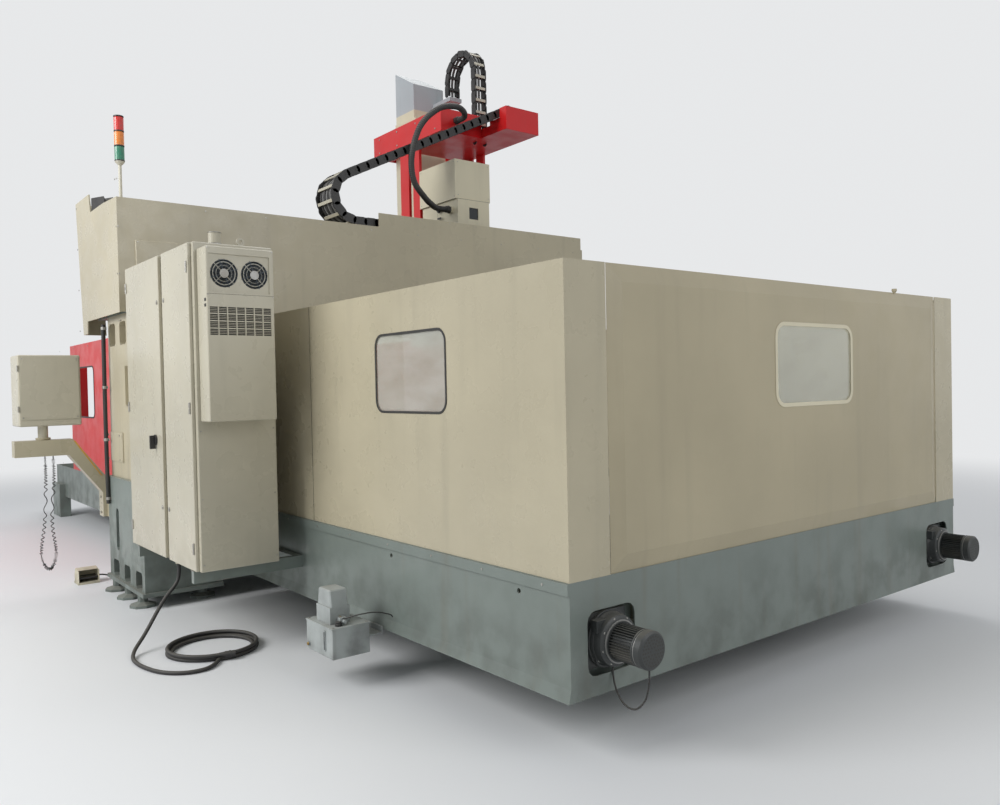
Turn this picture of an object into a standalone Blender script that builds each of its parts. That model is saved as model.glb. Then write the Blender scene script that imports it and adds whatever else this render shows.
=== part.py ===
"""Double-column CNC machining centre with a travelling table, seen from its rear left corner.

Metres, +Z up. X runs along the table travel, towards the rear enclosure's end wall.
Y runs along the crossrail. The origin is the floor point under the bed's middle pad.
"""
import math

import bmesh
import bpy
from mathutils import Matrix, Vector

# Clearances and shared sheet sizes
GAP = 0.0003
WELD = GAP / 10
CORD_POINT_SPACING_SHARE = 5
RUNNING = 0.002
OVERRUN = 0.05
SHEET = 0.004
PLATE = 0.012
ROUND_STEPS = 3
FLAT_ANGLE = math.radians(0.2)

# Overall layout, read from the photograph
HALF_WIDTH = 1.671
REAR_X = 4.5
REAR_START_X = 0.95
FRONT_X = -5.0
FRONT_START_X = -0.75
PAN_BOTTOM_Z = 0.248
PAN_TOP_Z = 0.722
GUARD_TOP_Z = 1.99
FRONT_PAN_TOP_Z = 0.62

# Places across the machine that follow its width
COLUMN_CLEARANCE = 0.029
COLUMN_WIDTH = 0.54
COLUMN_INNER_Y = HALF_WIDTH + COLUMN_CLEARANCE
COLUMN_OUTER_Y = COLUMN_INNER_Y + COLUMN_WIDTH
HEAD_INSET = 0.451
HEAD_Y = HALF_WIDTH - HEAD_INSET

# Bed with its guideways and levelling pads
BED_HALF_LENGTH = 4.25
BED_HALF_WIDTH = 0.62
BED_FOOT_HALF_WIDTH = 0.56
BED_BOTTOM_Z = 0.12
BED_TOP_Z = 0.60
BED_CHAMFER = 0.06
WAY_CENTRE_Y = 0.45
WAY_HALF_WIDTH = 0.06
WAY_TOP_Z = 0.68
SLOT_SIDE_Y = BED_HALF_WIDTH + GAP
SLOT_END_X = BED_HALF_LENGTH + GAP
CROSS_BASE_Z = (0.20, 0.49)
BED_GROOVE_HALF_WIDTH = 0.16
BED_GROOVE_DEPTH = 0.10
PAD_RADIUS = 0.09
PAD_NECK_RADIUS = 0.035
PAD_DISC_HEIGHT = 0.035
PAD_PITCH = 1.95
PAD_COUNT_EACH_WAY = int(BED_HALF_LENGTH // PAD_PITCH)
PAD_ROW_Y = 0.46
PAD_STEPS = 8
BED_POCKET_LENGTH = 0.90
BED_POCKET_HEIGHT = 0.22
BED_POCKET_DEPTH = 0.10
BED_POCKET_RADIUS = 0.05

# Table, its carriages and T slots
TABLE_HALF_LENGTH = 1.2
TABLE_HALF_WIDTH = 0.85
TABLE_BOTTOM_Z = 0.80
TABLE_TOP_Z = 0.98
TABLE_LIP = 0.05
SLOT_COUNT = 5
SLOT_PITCH = 0.30
SLOT_WIDTH = 0.022
SLOT_DEPTH = 0.055
SLOT_FOOT_WIDTH = 0.038
SLOT_FOOT_HEIGHT = 0.022
CARRIAGE_HALF_WIDTH = 0.11
CARRIAGE_SKIRT = 0.03
NUT_HALF_WIDTH = 0.08
NUT_HALF_LENGTH = 0.10

# Ball screw under the table
SCREW_RADIUS = 0.03
SCREW_Z = 0.62
BEARING_HALF_WIDTH = 0.09
BEARING_LENGTH = 0.10
BEARING_TOP_Z = 0.72
BEARING_INSET_X = 0.06

# Telescopic way covers on both sides of the table
COVER_LENGTH = 1.5
COVER_HALF_WIDTH = 0.70
COVER_TOP_Z = 0.77
COVER_STEP = 0.022
COVER_SKIRT_Z = 0.62
COVER_SHEET = 0.005
BULKHEAD = 0.02
COVER_NOTCH_HALF_WIDTH = 0.13
COVER_END_GAP = 0.002

# Columns
COLUMN_FRONT_X = -0.08
COLUMN_REAR_X = 0.83
COLUMN_FLANGE = 0.02
COLUMN_BOTTOM_Z = 0.087
COLUMN_FLANGE_TOP_Z = 0.115
COLUMN_BASE_TOP_Z = 0.87
COLUMN_STEP = 0.025
COLUMN_TOP_Z = 2.085
COLUMN_PAD_X = (0.03, 0.36, 0.69)
COLUMN_PAD_INSET = 0.10
COLUMN_OPENING_LOW_Z = 0.115
COLUMN_OPENING_HIGH_Z = 0.245
COLUMN_OPENING_START_X = 0.02
COLUMN_OPENING_WIDTH = 0.155
COLUMN_OPENING_PITCH = 0.296
COLUMN_OPENING_COUNT = 3
COLUMN_OPENING_RADIUS = 0.02
COLUMN_OPENING_DEPTH = 0.14
COLUMN_SLOT_X = (0.124, 0.20)
COLUMN_SLOT_Z = (0.324, 0.639)
COLUMN_WINDOW_Z = (1.86, 2.03)
COLUMN_WINDOW_X = ((-0.02, 0.15), (0.27, 0.44))
COVER_PLATE_X = (-0.04, 0.30)
COVER_PLATE_Z = (0.99, 1.21)
COVER_PLATE_RAISE = 0.008
COLUMN_SWITCH_X = (0.40, 0.46)
COLUMN_SWITCH_Z = (1.42, 1.70)
COLUMN_SWITCH_RAISE = 0.02

# Crossrail casting and its covers
RAIL_END_INSET = 0.02
RAIL_HALF_LENGTH = COLUMN_OUTER_Y - RAIL_END_INSET
RAIL_FRONT_X = -0.38
RAIL_REAR_X = 0.50
RAIL_BOTTOM_Z = 2.0853
RAIL_TOP_Z = 2.86
RAIL_CHAMFER = 0.10
RAIL_WAY_PROUD = 0.05
RAIL_WAY_HEIGHT = 0.12
RAIL_LOWER_WAY_Z = 2.20
RAIL_UPPER_WAY_Z = 2.66
RAIL_COVER_X = 0.55
RAIL_COVER_TOP_Z = 2.895
RAIL_COVER_OVERHANG = 0.03
RAIL_COVER_HALF_LENGTH = COLUMN_OUTER_Y + RAIL_COVER_OVERHANG
RAIL_COVER_SHEET = 0.005
RAIL_COVER_FRONT_X = 0.19
RAIL_COVER_BOTTOM_Z = 2.087
HATCH_INSET = 0.107
HATCH_WIDTH = 0.363
HATCH_START_Y = -RAIL_COVER_HALF_LENGTH + HATCH_INSET
HATCH_Y = (HATCH_START_Y, HATCH_START_Y + HATCH_WIDTH)
HATCH_Z = (2.30, 2.60)
HATCH_RAISE = 0.012
END_COVER_Y = RAIL_COVER_HALF_LENGTH + GAP
END_COVER_SHEET = 0.010
END_COVER_RETURN = 0.16
END_COVER_FRONT_X = -0.69
END_COVER_FRONT_LOW_X = -0.54
END_COVER_HIGH_Z = 3.06
END_COVER_NOTCH_X = (-0.25, -0.21)
END_COVER_NOTCH_Z = 2.915
END_COVER_LOW_Z = 2.08
END_COVER_TAB_Z = 1.98
END_COVER_TAB_X = -0.40

# Bellows on the crossrail's crest
BELLOWS_X = (-0.22, 0.17)
BELLOWS_LOW_Z = 2.8985
BELLOWS_HIGH_Z = 3.03
BELLOWS_PLEATS = 26
BELLOWS_FOLD_DEPTH = 0.05

# Cable chain tray and the chain
TRAY_X = (0.171, 0.549)
CHAIN_LOOP_SHIFT = 1.55
CHAIN_LOOP_Y = HEAD_Y - CHAIN_LOOP_SHIFT
TRAY_START = 0.18
TRAY_END_INSET = 0.008
TRAY_Y = (CHAIN_LOOP_Y + TRAY_START, RAIL_COVER_HALF_LENGTH - TRAY_END_INSET)
TRAY_LOW_Z = 2.8953
TRAY_HIGH_Z = 3.015
CHAIN_X = (0.206, 0.496)
CHAIN_BAND = 0.026
CHAIN_HEIGHT = 0.076
CHAIN_LOOP_RADIUS = 0.205
CHAIN_LOW_Z = TRAY_LOW_Z + SHEET + GAP + CHAIN_HEIGHT / 2
CHAIN_RISE_DEG = 26.0
CHAIN_PITCH = 0.105
CHAIN_SKIN = 0.012
CHAIN_LOWER_LINKS = 15
CHAIN_UPPER_LINKS = 19
CHAIN_BAR = 0.012

# Saddle on the crossrail, red chain platform and junction box
SADDLE_HALF_WIDTH = 0.50
SADDLE_FRONT_X = -0.60
SADDLE_BOTTOM_Z = 2.02
SADDLE_CREST_Z = 3.03
SADDLE_REAR_X = 0.165
SADDLE_GIB = 0.04
RAM_GUIDE_HALF_WIDTH = 0.25
RAM_GUIDE_DEPTH = 0.52
RAM_GUIDE_WALL = 0.035
PLATFORM_X = (-1.07, 0.20)
PLATFORM_HALF_WIDTH = 0.45
PLATFORM_TAIL_X = 0.60
PLATFORM_TAIL_INSET = 0.035
PLATFORM_TAIL_WIDTH = 0.41
PLATFORM_TAIL_Y = (HEAD_Y + PLATFORM_TAIL_INSET, HEAD_Y + PLATFORM_TAIL_INSET + PLATFORM_TAIL_WIDTH)
PLATFORM_Z = (3.97, 4.19)
PLATFORM_CHAIN_CUT_Z = 0.09
PLATFORM_POST_X = ((-0.595, -0.44), (-0.36, -0.24))
PLATFORM_POST_THICKNESS = 0.03
PLATFORM_POST_INSET = 0.03
JUNCTION_X = (-0.22, 0.40)
JUNCTION_WIDTH = 0.415
JUNCTION_SETBACK = 0.02
JUNCTION_Y = (HEAD_Y - JUNCTION_SETBACK - JUNCTION_WIDTH, HEAD_Y - JUNCTION_SETBACK)
JUNCTION_BASE_Z = 3.0305
JUNCTION_SPLIT_Z = 3.285
JUNCTION_TOP_Z = 3.66
JUNCTION_OVERHANG = 0.02
JUNCTION_SOCKET_RADIUS = 0.035
JUNCTION_WINDOW = 0.11

# Ram, its head housing and the spindle
RAM_HALF_WIDTH = 0.21
RAM_REAR_X = -0.645
RAM_FRONT_X = -1.04
RAM_NOSE_Z = 1.95
RAM_TOP_Z = 4.36
RAM_CHAMFER = 0.03
RAM_HOUSING_TOP_Z = 4.92
RAM_HOUSING_LOW_TOP_Z = 4.72
RAM_HOUSING_SHRINK = 0.02
RAM_NOSE_RADIUS = 0.15
RAM_NOSE_LENGTH = 0.10
SPINDLE_RADIUS = 0.064
SPINDLE_LENGTH = 0.09
SPINDLE_COLLAR_RADIUS = 0.10
SPINDLE_TAPER_RADIUS = 0.035
SPINDLE_TAPER_DEPTH = 0.07
RAM_BORE_RADIUS = 0.068

# Ram cable chain, standing on the platform and folding over to the ram
RAM_CHAIN_X = 0.06
RAM_CHAIN_INSET = 0.05
RAM_CHAIN_WIDTH = 0.15
RAM_CHAIN_Y = (HEAD_Y + RAM_CHAIN_INSET, HEAD_Y + RAM_CHAIN_INSET + RAM_CHAIN_WIDTH)
RAM_CHAIN_HEIGHT = 0.06
RAM_CHAIN_END_X = -0.40
RAM_CHAIN_TOP_Z = 4.70
RAM_CHAIN_ARM_Z = (4.50, 4.54)
RAM_CHAIN_LINKS = 6

# Conduit from the platform to the junction box
CONDUIT_RADIUS = 0.028
CONDUIT_START = (-0.27, 4.09)
CONDUIT_ROUTE = ((0.33, -0.27, 4.09), (0.46, -0.37, 4.095), (0.54, -0.52, 4.09), (0.555, -0.72, 4.03),
                 (0.555, -0.92, 3.84), (0.555, -1.02, 3.56), (0.55, -1.00, 3.34), (0.51, -0.86, 3.215),
                 (0.38, -0.70, 3.195))
CONDUIT_LEAD_IN = 0.14

# Rear pan, its flange, ledge and gearmotor openings
PAN_WALL = 0.008
PAN_LEDGE_Z = (0.672, 0.7195)
PAN_LEDGE_PROUD = 0.010
PAN_FLANGE_Z = 0.055
PAN_FLANGE_PROUD = 0.014
TROUGH_INSET = 0.231
TROUGH_Y = HALF_WIDTH - TROUGH_INSET
TROUGH_Z = 0.46
TROUGH_HALF = 0.16
DRIVE_OPENING_HALF_Y = 0.137
DRIVE_OPENING_HALF_Z = 0.132
DRIVE_OPENING_RADIUS = 0.045
DRIVE_BULKHEAD = 0.012
DRIVE_RECESS = 0.045
PAN_BOLT_RADIUS = 0.012
PAN_BOLT_X = (3.167, 4.191)
PAN_BOLT_Z = 0.64

# Rear guard panels and windows
GUARD_BOTTOM_Z = 0.7223
GUARD_RETURN = 0.23
GUARD_TOP_FLANGE = 0.03
GUARD_SEAM_X = 2.29
GUARD_SEAM_WIDTH = 0.004
GUARD_SEAM_DEPTH = 0.002
SIDE_WINDOW_X = (3.06, 3.69)
SIDE_WINDOW_Z = (1.38, 1.77)
END_WINDOW_Y = (-0.27, 0.42)
END_WINDOW_Z = (1.38, 1.77)
WINDOW_RADIUS = 0.06
GLASS_OVERLAP = 0.02
GLASS = 0.006
END_PANEL_BORDER = 0.075
END_PANEL_RAISE = 0.016
END_PANEL_GAP = 0.006
EYE_Y = 0.94
EYE_RADIUS = 0.014
EYE_HEIGHT = 0.024

# Front pan and red front guards
FRONT_GUARD_X = (-4.05, -0.95)
FRONT_GUARD_Z = (0.6203, 2.07)
FRONT_GUARD_BEND = 0.18
FRONT_WINDOW_X = (-3.80, -2.95)
FRONT_WINDOW_Z = (1.25, 1.80)
FRONT_FOOT_X = (-4.95, -4.55)
FRONT_FOOT_PROUD = 0.06
FRONT_FOOT_TOP_Z = 0.40

# Electrical cabinet on its stand
CABINET_X = (0.90, 2.19)
CABINET_STANDOFF = 0.179
CABINET_DEPTH = 0.46
CABINET_BACK_Y = -HALF_WIDTH - CABINET_STANDOFF
CABINET_Y = (CABINET_BACK_Y - CABINET_DEPTH, CABINET_BACK_Y)
CABINET_Z = (0.49, 2.335)
CABINET_WALL = 0.012
CABINET_LIP = 0.028
CABINET_POST_X = 0.03
CABINET_DIVIDER = (1.615, 1.685)
DOOR_THICKNESS = 0.02
DOOR_RAISE = GAP
DOOR_EDGE = 0.003
DOOR_FOLD = 0.006
STAND_BEAM_X = ((1.02, 1.06), (2.08, 2.12))
STAND_BEAM_HEIGHT = 0.07
STAND_RAIL = 0.05
STAND_REACH = 0.02
CABINET_EYE_X = 2.12
CABINET_EYE_INSET = 0.30
CABINET_EYE_Y = CABINET_Y[0] + CABINET_EYE_INSET
CABINET_EYE_RADIUS = 0.024
CABINET_EYE_WIRE = 0.006
CABINET_VENT_INSET = 0.15
CABINET_VENT_Y = CABINET_Y[0] + CABINET_VENT_INSET
CABINET_VENT_RADIUS = 0.035
CABINET_VENT_HEIGHT = 0.07
SWITCH_X = 1.49
SWITCH_Z = 1.21
SWITCH_RADIUS = 0.032
SWITCH_BASE = 0.010
SWITCH_HANDLE = (0.055, 0.016, 0.028)
CORD_GLAND_X = 1.665
CORD_GLAND_INSET = 0.04
CORD_GLAND_Y = CABINET_Y[0] + CORD_GLAND_INSET
CORD_GLAND_RADIUS = 0.018
CORD_GLAND_LENGTH = 0.03

# Air conditioner on the cabinet's rear end
COOLER_X = (CABINET_X[1] + GAP, 2.335)
COOLER_INSET = 0.02
COOLER_WIDTH = 0.385
COOLER_Y = (CABINET_Y[0] + COOLER_INSET, CABINET_Y[0] + COOLER_INSET + COOLER_WIDTH)
COOLER_MARGIN = 0.015
COOLER_Z = (1.335, 2.295)
COOLER_RECESS_Z = (2.045, 2.255)
COOLER_RECESS_WIDTH = 0.345
COOLER_RECESS_Y = (COOLER_Y[0] + COOLER_MARGIN, COOLER_Y[0] + COOLER_MARGIN + COOLER_RECESS_WIDTH)
COOLER_RECESS_DEPTH = 0.008
COOLER_FAN_INSET = 0.102
COOLER_FAN_PITCH = 0.173
COOLER_FAN_Y = (COOLER_Y[0] + COOLER_FAN_INSET, COOLER_Y[0] + COOLER_FAN_INSET + COOLER_FAN_PITCH)
COOLER_FAN_Z = 2.15
COOLER_FAN_RADIUS = 0.078
COOLER_FAN_DEPTH = 0.05
COOLER_HUB_RADIUS = 0.026
COOLER_BLADES = 5
COOLER_BLADE_TWIST_DEG = 32.0
GUARD_RING_RADII = (0.044, 0.064)
GUARD_RING_WIDTH = 0.004
GUARD_SPOKES = 2
GRILLE_WIDTH = 0.35
GRILLE_Y = (COOLER_Y[0] + COOLER_MARGIN, COOLER_Y[0] + COOLER_MARGIN + GRILLE_WIDTH)
GRILLE_Z = (1.81, 1.965)
GRILLE_COLUMNS = 7
GRILLE_ROWS = 4
GRILLE_BAR = 0.006
GRILLE_DEPTH = 0.010

# Stack light on the crossrail's left end
STACK_X = 0.36
STACK_INSET = 0.07
STACK_Y = -RAIL_COVER_HALF_LENGTH + STACK_INSET
STACK_FOOT_RADIUS = 0.045
STACK_FOOT_HEIGHT = 0.02
STACK_POLE_RADIUS = 0.012
STACK_LENS_LOW_Z = 3.20
STACK_LENS_RADIUS = 0.034
STACK_LENS_HEIGHT = 0.095
STACK_RING_HEIGHT = 0.012
STACK_LENS_COUNT = 3

# Lubrication unit hung from the rear pan
LUBE_X = (2.85, 3.137)
LUBE_STANDOFF = 0.119
LUBE_WIDTH = 0.21
LUBE_BACK_Y = -HALF_WIDTH - LUBE_STANDOFF
LUBE_Y = (LUBE_BACK_Y - LUBE_WIDTH, LUBE_BACK_Y)
LUBE_Z = (0.16, 0.315)
LUBE_LID = 0.006
LUBE_GAUGE_WIDTH = 0.016
LUBE_GAUGE_Z = (0.19, 0.295)
LUBE_GAUGE_X = 3.06
LUBE_PLUG_X = 2.88
LUBE_PLUG_RADIUS = 0.011
LUBE_PUMP_X = (2.91, 3.06)
LUBE_PUMP_INSET = 0.03
LUBE_PUMP_WIDTH = 0.11
LUBE_PUMP_Y = (LUBE_Y[0] + LUBE_PUMP_INSET, LUBE_Y[0] + LUBE_PUMP_INSET + LUBE_PUMP_WIDTH)
LUBE_PUMP_TOP_Z = 0.485
LUBE_PUMP_SPLIT_Z = 0.40
LUBE_PUMP_TAPER = 0.014
LUBE_BLOCK = 0.035
LUBE_BRACKET_X = (2.93, 3.09)
LUBE_BRACKET = 0.008

# Chip screws and their gearmotors
CHIP_SCREW_X = (1.10, 4.4365)
CHIP_SCREW_RADIUS = 0.105
CHIP_SHAFT_RADIUS = 0.03
CHIP_JOURNAL_RADIUS = 0.025
CHIP_SCREW_PITCH = 0.60
CHIP_FLIGHT = 0.008
CHIP_STEPS_PER_TURN = 8
CHIP_BEARING = 0.03
DRIVE_FLANGE = 0.014
DRIVE_FLANGE_MARGIN = 0.006
DRIVE_BOLT_RADIUS = 0.009
DRIVE_BOLT_INSET = 0.028
GEAR_RADIUS = 0.108
GEAR_LENGTH = 0.075
GEAR_NECK_RADIUS = 0.082
MOTOR_RADIUS = 0.075
MOTOR_CORE_RADIUS = 0.066
MOTOR_LENGTH = 0.125
MOTOR_FINS = 18
MOTOR_FIN_SHARE = 0.4
FAN_COVER_RADIUS = 0.077
FAN_COVER_LENGTH = 0.052
FAN_COVER_ROUND = 0.012
FAN_COVER_SLOTS = 8
FAN_COVER_SLOT = (0.007, 0.024, 0.004)
FAN_COVER_SLOT_RADIUS = 0.040

# Pendant arm and operator pendant
ARM_X = (-0.24, -0.12)
ARM_REACH = 0.62
ARM_TIP_Y = -COLUMN_OUTER_Y - ARM_REACH
ARM_TOP_Z = 1.165
ARM_LOW_Z = 1.045
ARM_BEND_OUT = (0.23, 0.26)
ARM_BEND_Y = (-COLUMN_OUTER_Y - ARM_BEND_OUT[0], -COLUMN_OUTER_Y - ARM_BEND_OUT[1])
ARM_FOOT_DEPTH = 0.03
ARM_FOOT_Y = (-COLUMN_OUTER_Y - GAP, -COLUMN_OUTER_Y - ARM_FOOT_DEPTH)
ARM_FOOT_Z = (0.86, 0.55)
PENDANT_X = (-0.42, -0.12)
PENDANT_TIP_INSET = 0.035
PENDANT_WIDTH = 0.42
PENDANT_Y = (ARM_TIP_Y + PENDANT_TIP_INSET, ARM_TIP_Y + PENDANT_TIP_INSET + PENDANT_WIDTH)
PENDANT_Z = (1.27, 1.80)
PENDANT_ROUND = 0.008
PENDANT_BACK_INSET = 0.012
PENDANT_BACK_RAISE = 0.004
PENDANT_SILL = 0.05
PENDANT_SCREW_RADIUS = 0.006
PENDANT_PIVOT_RADIUS = 0.035
PENDANT_PIVOT_X = -0.19
PENDANT_PIVOT_INSET = 0.20
PENDANT_PIVOT_Y = ARM_TIP_Y + PENDANT_PIVOT_INSET
PENDANT_SCREEN_SHARES = (0.12, 0.88, 0.42, 0.92)
PENDANT_SCREEN_DEPTH = 0.012
PENDANT_DIAL_RADIUS = 0.022
PENDANT_DIAL_RAISE = 0.016
PENDANT_DIALS = 3

# Foot switch on the floor
FOOT_X = (-0.48, -0.34)
FOOT_STANDOFF = 0.02
FOOT_DEPTH = 0.16
FOOT_BACK_Y = -COLUMN_OUTER_Y - FOOT_STANDOFF
FOOT_Y = (FOOT_BACK_Y - FOOT_DEPTH, FOOT_BACK_Y)
FOOT_BASE = 0.012
FOOT_WALL = 0.004
FOOT_HOOD_Z = 0.12
FOOT_PEDAL_THICKNESS = 0.012
FOOT_PEDAL_LENGTH = 0.10
FOOT_PEDAL_Z = 0.045
FOOT_PIN_RADIUS = 0.004

# Cords
POWER_CORD_RADIUS = 0.011
HAND_CORD_RADIUS = 0.014
RISER_RADIUS = 0.016
FOOT_CORD_RADIUS = 0.006
COIL_X = 2.02
COIL_INSET = 0.11
COIL_CENTRE = (COIL_X, CABINET_Y[0] + COIL_INSET)
COIL_RADIUS = 0.235
COIL_TUBE_RADIUS = 0.0235
COIL_STEPS = 24
COIL_SIDES = 6

# Cord routes, chosen by eye. Y counts from the piece that a cord hangs from or lies beside
POWER_DROP_Z = 0.40
POWER_ROUTE = ((1.67, 0.02, 0.34), (1.70, -0.07, 0.25), (1.76, -0.19, 0.10), (1.84, -0.275, 0.03))
POWER_FLOOR_ROUTE = ((1.96, -0.31), (2.12, -0.30), (2.27, -0.25), (2.36, -0.16), (2.38, -0.07))
POWER_LAST_X = 2.34
POWER_LAST_SHIFT = 0.02
HAND_CORD_X = -0.17
HAND_ENDS_INSET = (0.26, 0.205)
HAND_ROUTE = ((0.26, 0.85), (0.24, 0.55), (0.26, 0.30), (0.215, 0.19), (0.16, 0.30), (0.19, 0.55),
              (0.205, 0.85))
FOOT_CORD_EXIT_Z = 0.04
FOOT_CORD_EXIT = 0.05
FOOT_LIFT_Z = 0.012
FOOT_ROUTE = ((-0.40, 0.14, FOOT_LIFT_Z), (-0.30, 0.19, 0.0), (-0.20, 0.14, 0.0), (-0.15, 0.08, 0.05))
FOOT_CORD_END = 0.06
FOOT_CORD_LEAD_IN = 0.03
RISER_ROUTE = ((-0.02, 2.03), (-0.03, 1.70), (-0.035, 1.30), (-0.03, 0.95), (-0.02, 0.66))

COLOURS = {
    "beige": ((0.62, 0.60, 0.52), 0.45, 0.0),
    "cream": ((0.74, 0.72, 0.60), 0.5, 0.0),
    "blue_grey": ((0.33, 0.39, 0.40), 0.5, 0.0),
    "iron": ((0.35, 0.36, 0.36), 0.45, 0.7),
    "steel": ((0.62, 0.63, 0.64), 0.3, 1.0),
    "red": ((0.72, 0.07, 0.07), 0.45, 0.0),
    "black": ((0.02, 0.02, 0.022), 0.6, 0.0),
    "glass": ((0.8, 0.85, 0.85), 0.08, 0.0),
    "motor": ((0.12, 0.13, 0.14), 0.45, 0.3),
    "yellow": ((0.80, 0.52, 0.10), 0.5, 0.0),
    "amber": ((0.9, 0.35, 0.05), 0.25, 0.0),
    "pad": ((0.55, 0.56, 0.54), 0.5, 0.3),
}


def clear_scene():
    for item in list(bpy.data.objects):
        bpy.data.objects.remove(item, do_unlink=True)


def make_collection(name):
    group = bpy.data.collections.new(name)
    bpy.context.scene.collection.children.link(group)
    return group


def make_materials():
    made = {}
    for name, (colour, roughness, metallic) in COLOURS.items():
        material = bpy.data.materials.new(name)
        material.use_nodes = True
        shader = material.node_tree.nodes["Principled BSDF"]
        shader.inputs["Base Color"].default_value = (*colour, 1.0)
        shader.inputs["Roughness"].default_value = roughness
        shader.inputs["Metallic"].default_value = metallic
        made[name] = material
    return made


clear_scene()
PARTS = make_collection("machining_centre")
CUTTERS = make_collection("cutters")
MATERIALS = make_materials()


def place(name, mesh):
    item = bpy.data.objects.new(name, mesh)
    CUTTERS.objects.link(item)
    item.hide_render = True
    item.display_type = "WIRE"
    return item


def from_bmesh(name, shape):
    bmesh.ops.recalc_face_normals(shape, faces=shape.faces)
    mesh = bpy.data.meshes.new(name)
    shape.to_mesh(mesh)
    shape.free()
    return place(name, mesh)


def box(x, y, z, name="box"):
    """Block between two values on each axis."""
    shape = bmesh.new()
    bmesh.ops.create_cube(shape, size=1.0)
    low = Vector((min(x), min(y), min(z)))
    high = Vector((max(x), max(y), max(z)))
    bmesh.ops.scale(shape, vec=high - low, verts=shape.verts)
    bmesh.ops.translate(shape, vec=(low + high) / 2, verts=shape.verts)
    return from_bmesh(name, shape)


AXIS_TURN = {
    "X": Matrix(((0, 0, 1, 0), (1, 0, 0, 0), (0, 1, 0, 0), (0, 0, 0, 1))),
    "Y": Matrix(((1, 0, 0, 0), (0, 0, -1, 0), (0, 1, 0, 0), (0, 0, 0, 1))),
    "Z": Matrix.Identity(4),
}


def prism(outline, axis, low, high, holes=(), name="prism"):
    """Flat outline pushed along an axis. Points are (y, z), (x, z) or (x, y)."""
    curve = bpy.data.curves.new(name, "CURVE")
    curve.dimensions = "2D"
    curve.fill_mode = "BOTH"
    curve.extrude = abs(high - low) / 2
    for loop in (outline, *holes):
        spline = curve.splines.new("POLY")
        spline.points.add(len(loop) - 1)
        spline.use_cyclic_u = True
        for point, (u, v) in zip(spline.points, loop):
            point.co = (u, v, 0.0, 1.0)
    source = bpy.data.objects.new(name, curve)
    CUTTERS.objects.link(source)
    bpy.context.view_layer.update()
    graph = bpy.context.evaluated_depsgraph_get()
    mesh = bpy.data.meshes.new_from_object(source.evaluated_get(graph))
    bpy.data.objects.remove(source, do_unlink=True)
    shape = bmesh.new()
    shape.from_mesh(mesh)
    bmesh.ops.remove_doubles(shape, verts=shape.verts, dist=WELD)
    bmesh.ops.dissolve_limit(shape, angle_limit=FLAT_ANGLE, verts=shape.verts, edges=shape.edges)
    bmesh.ops.triangulate(shape, faces=[face for face in shape.faces if len(face.verts) > 4])
    shape.transform(AXIS_TURN[axis])
    middle = (low + high) / 2
    shift = {"X": (middle, 0, 0), "Y": (0, middle, 0), "Z": (0, 0, middle)}[axis]
    bmesh.ops.translate(shape, vec=shift, verts=shape.verts)
    return from_bmesh(name, shape)


def rounded(u, v, radius, steps=ROUND_STEPS):
    """Outline of a rectangle with round corners."""
    low_u, high_u = min(u), max(u)
    low_v, high_v = min(v), max(v)
    corners = ((high_u - radius, high_v - radius, 0), (low_u + radius, high_v - radius, 90),
               (low_u + radius, low_v + radius, 180), (high_u - radius, low_v + radius, 270))
    points = []
    for centre_u, centre_v, start in corners:
        for step in range(steps + 1):
            angle = math.radians(start + 90 * step / steps)
            points.append((centre_u + radius * math.cos(angle), centre_v + radius * math.sin(angle)))
    return points


def circle(u, v, radius, steps=24):
    return [(u + radius * math.cos(2 * math.pi * step / steps),
             v + radius * math.sin(2 * math.pi * step / steps)) for step in range(steps)]


def rectangle(u, v):
    return [(u[0], v[0]), (u[1], v[0]), (u[1], v[1]), (u[0], v[1])]


def cylinder(radius, axis, low, high, centre, steps=24, end_radius=None, name="cylinder"):
    """Round bar along an axis. centre holds the two other coordinates."""
    shape = bmesh.new()
    far_radius = radius if end_radius is None else end_radius
    bmesh.ops.create_cone(shape, cap_ends=True, segments=steps, radius1=radius, radius2=far_radius,
                          depth=high - low)
    shape.transform(AXIS_TURN[axis] if axis != "Y" else Matrix.Rotation(-math.pi / 2, 4, "X"))
    middle = (low + high) / 2
    shift = {"X": (middle, *centre), "Y": (centre[0], middle, centre[1]), "Z": (*centre, middle)}[axis]
    bmesh.ops.translate(shape, vec=shift, verts=shape.verts)
    return from_bmesh(name, shape)


def turned(profile, centre, axis="Z", steps=24, name="turned"):
    """Profile of (radius, height), given from top to bottom, spun round an axis."""
    mesh = bpy.data.meshes.new(name)
    mesh.from_pydata([(radius, 0.0, height) for radius, height in profile],
                     [(i, i + 1) for i in range(len(profile) - 1)], [])
    item = place(name, mesh)
    screw = item.modifiers.new("spin", "SCREW")
    screw.steps = steps
    screw.render_steps = steps
    screw.use_merge_vertices = True
    screw.merge_threshold = GAP / 10
    bake(item)
    shape = bmesh.new()
    shape.from_mesh(item.data)
    bmesh.ops.remove_doubles(shape, verts=shape.verts, dist=WELD)
    if axis == "X":
        shape.transform(Matrix.Rotation(math.pi / 2, 4, "Y"))
    if axis == "Y":
        shape.transform(Matrix.Rotation(-math.pi / 2, 4, "X"))
    bmesh.ops.translate(shape, vec=centre, verts=shape.verts)
    bmesh.ops.recalc_face_normals(shape, faces=shape.faces)
    shape.to_mesh(item.data)
    shape.free()
    return item


def bake(item):
    """Replace an object's mesh by its evaluated one."""
    bpy.context.view_layer.update()
    graph = bpy.context.evaluated_depsgraph_get()
    mesh = bpy.data.meshes.new_from_object(item.evaluated_get(graph))
    old = item.data
    item.modifiers.clear()
    item.data = mesh
    bpy.data.meshes.remove(old)


def merge_cutters(tools):
    """One mesh of several tools that don't touch each other."""
    shape = bmesh.new()
    for tool in tools:
        shape.from_mesh(tool.data)
        bpy.data.objects.remove(tool, do_unlink=True)
    return from_bmesh("tools", shape)


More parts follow.
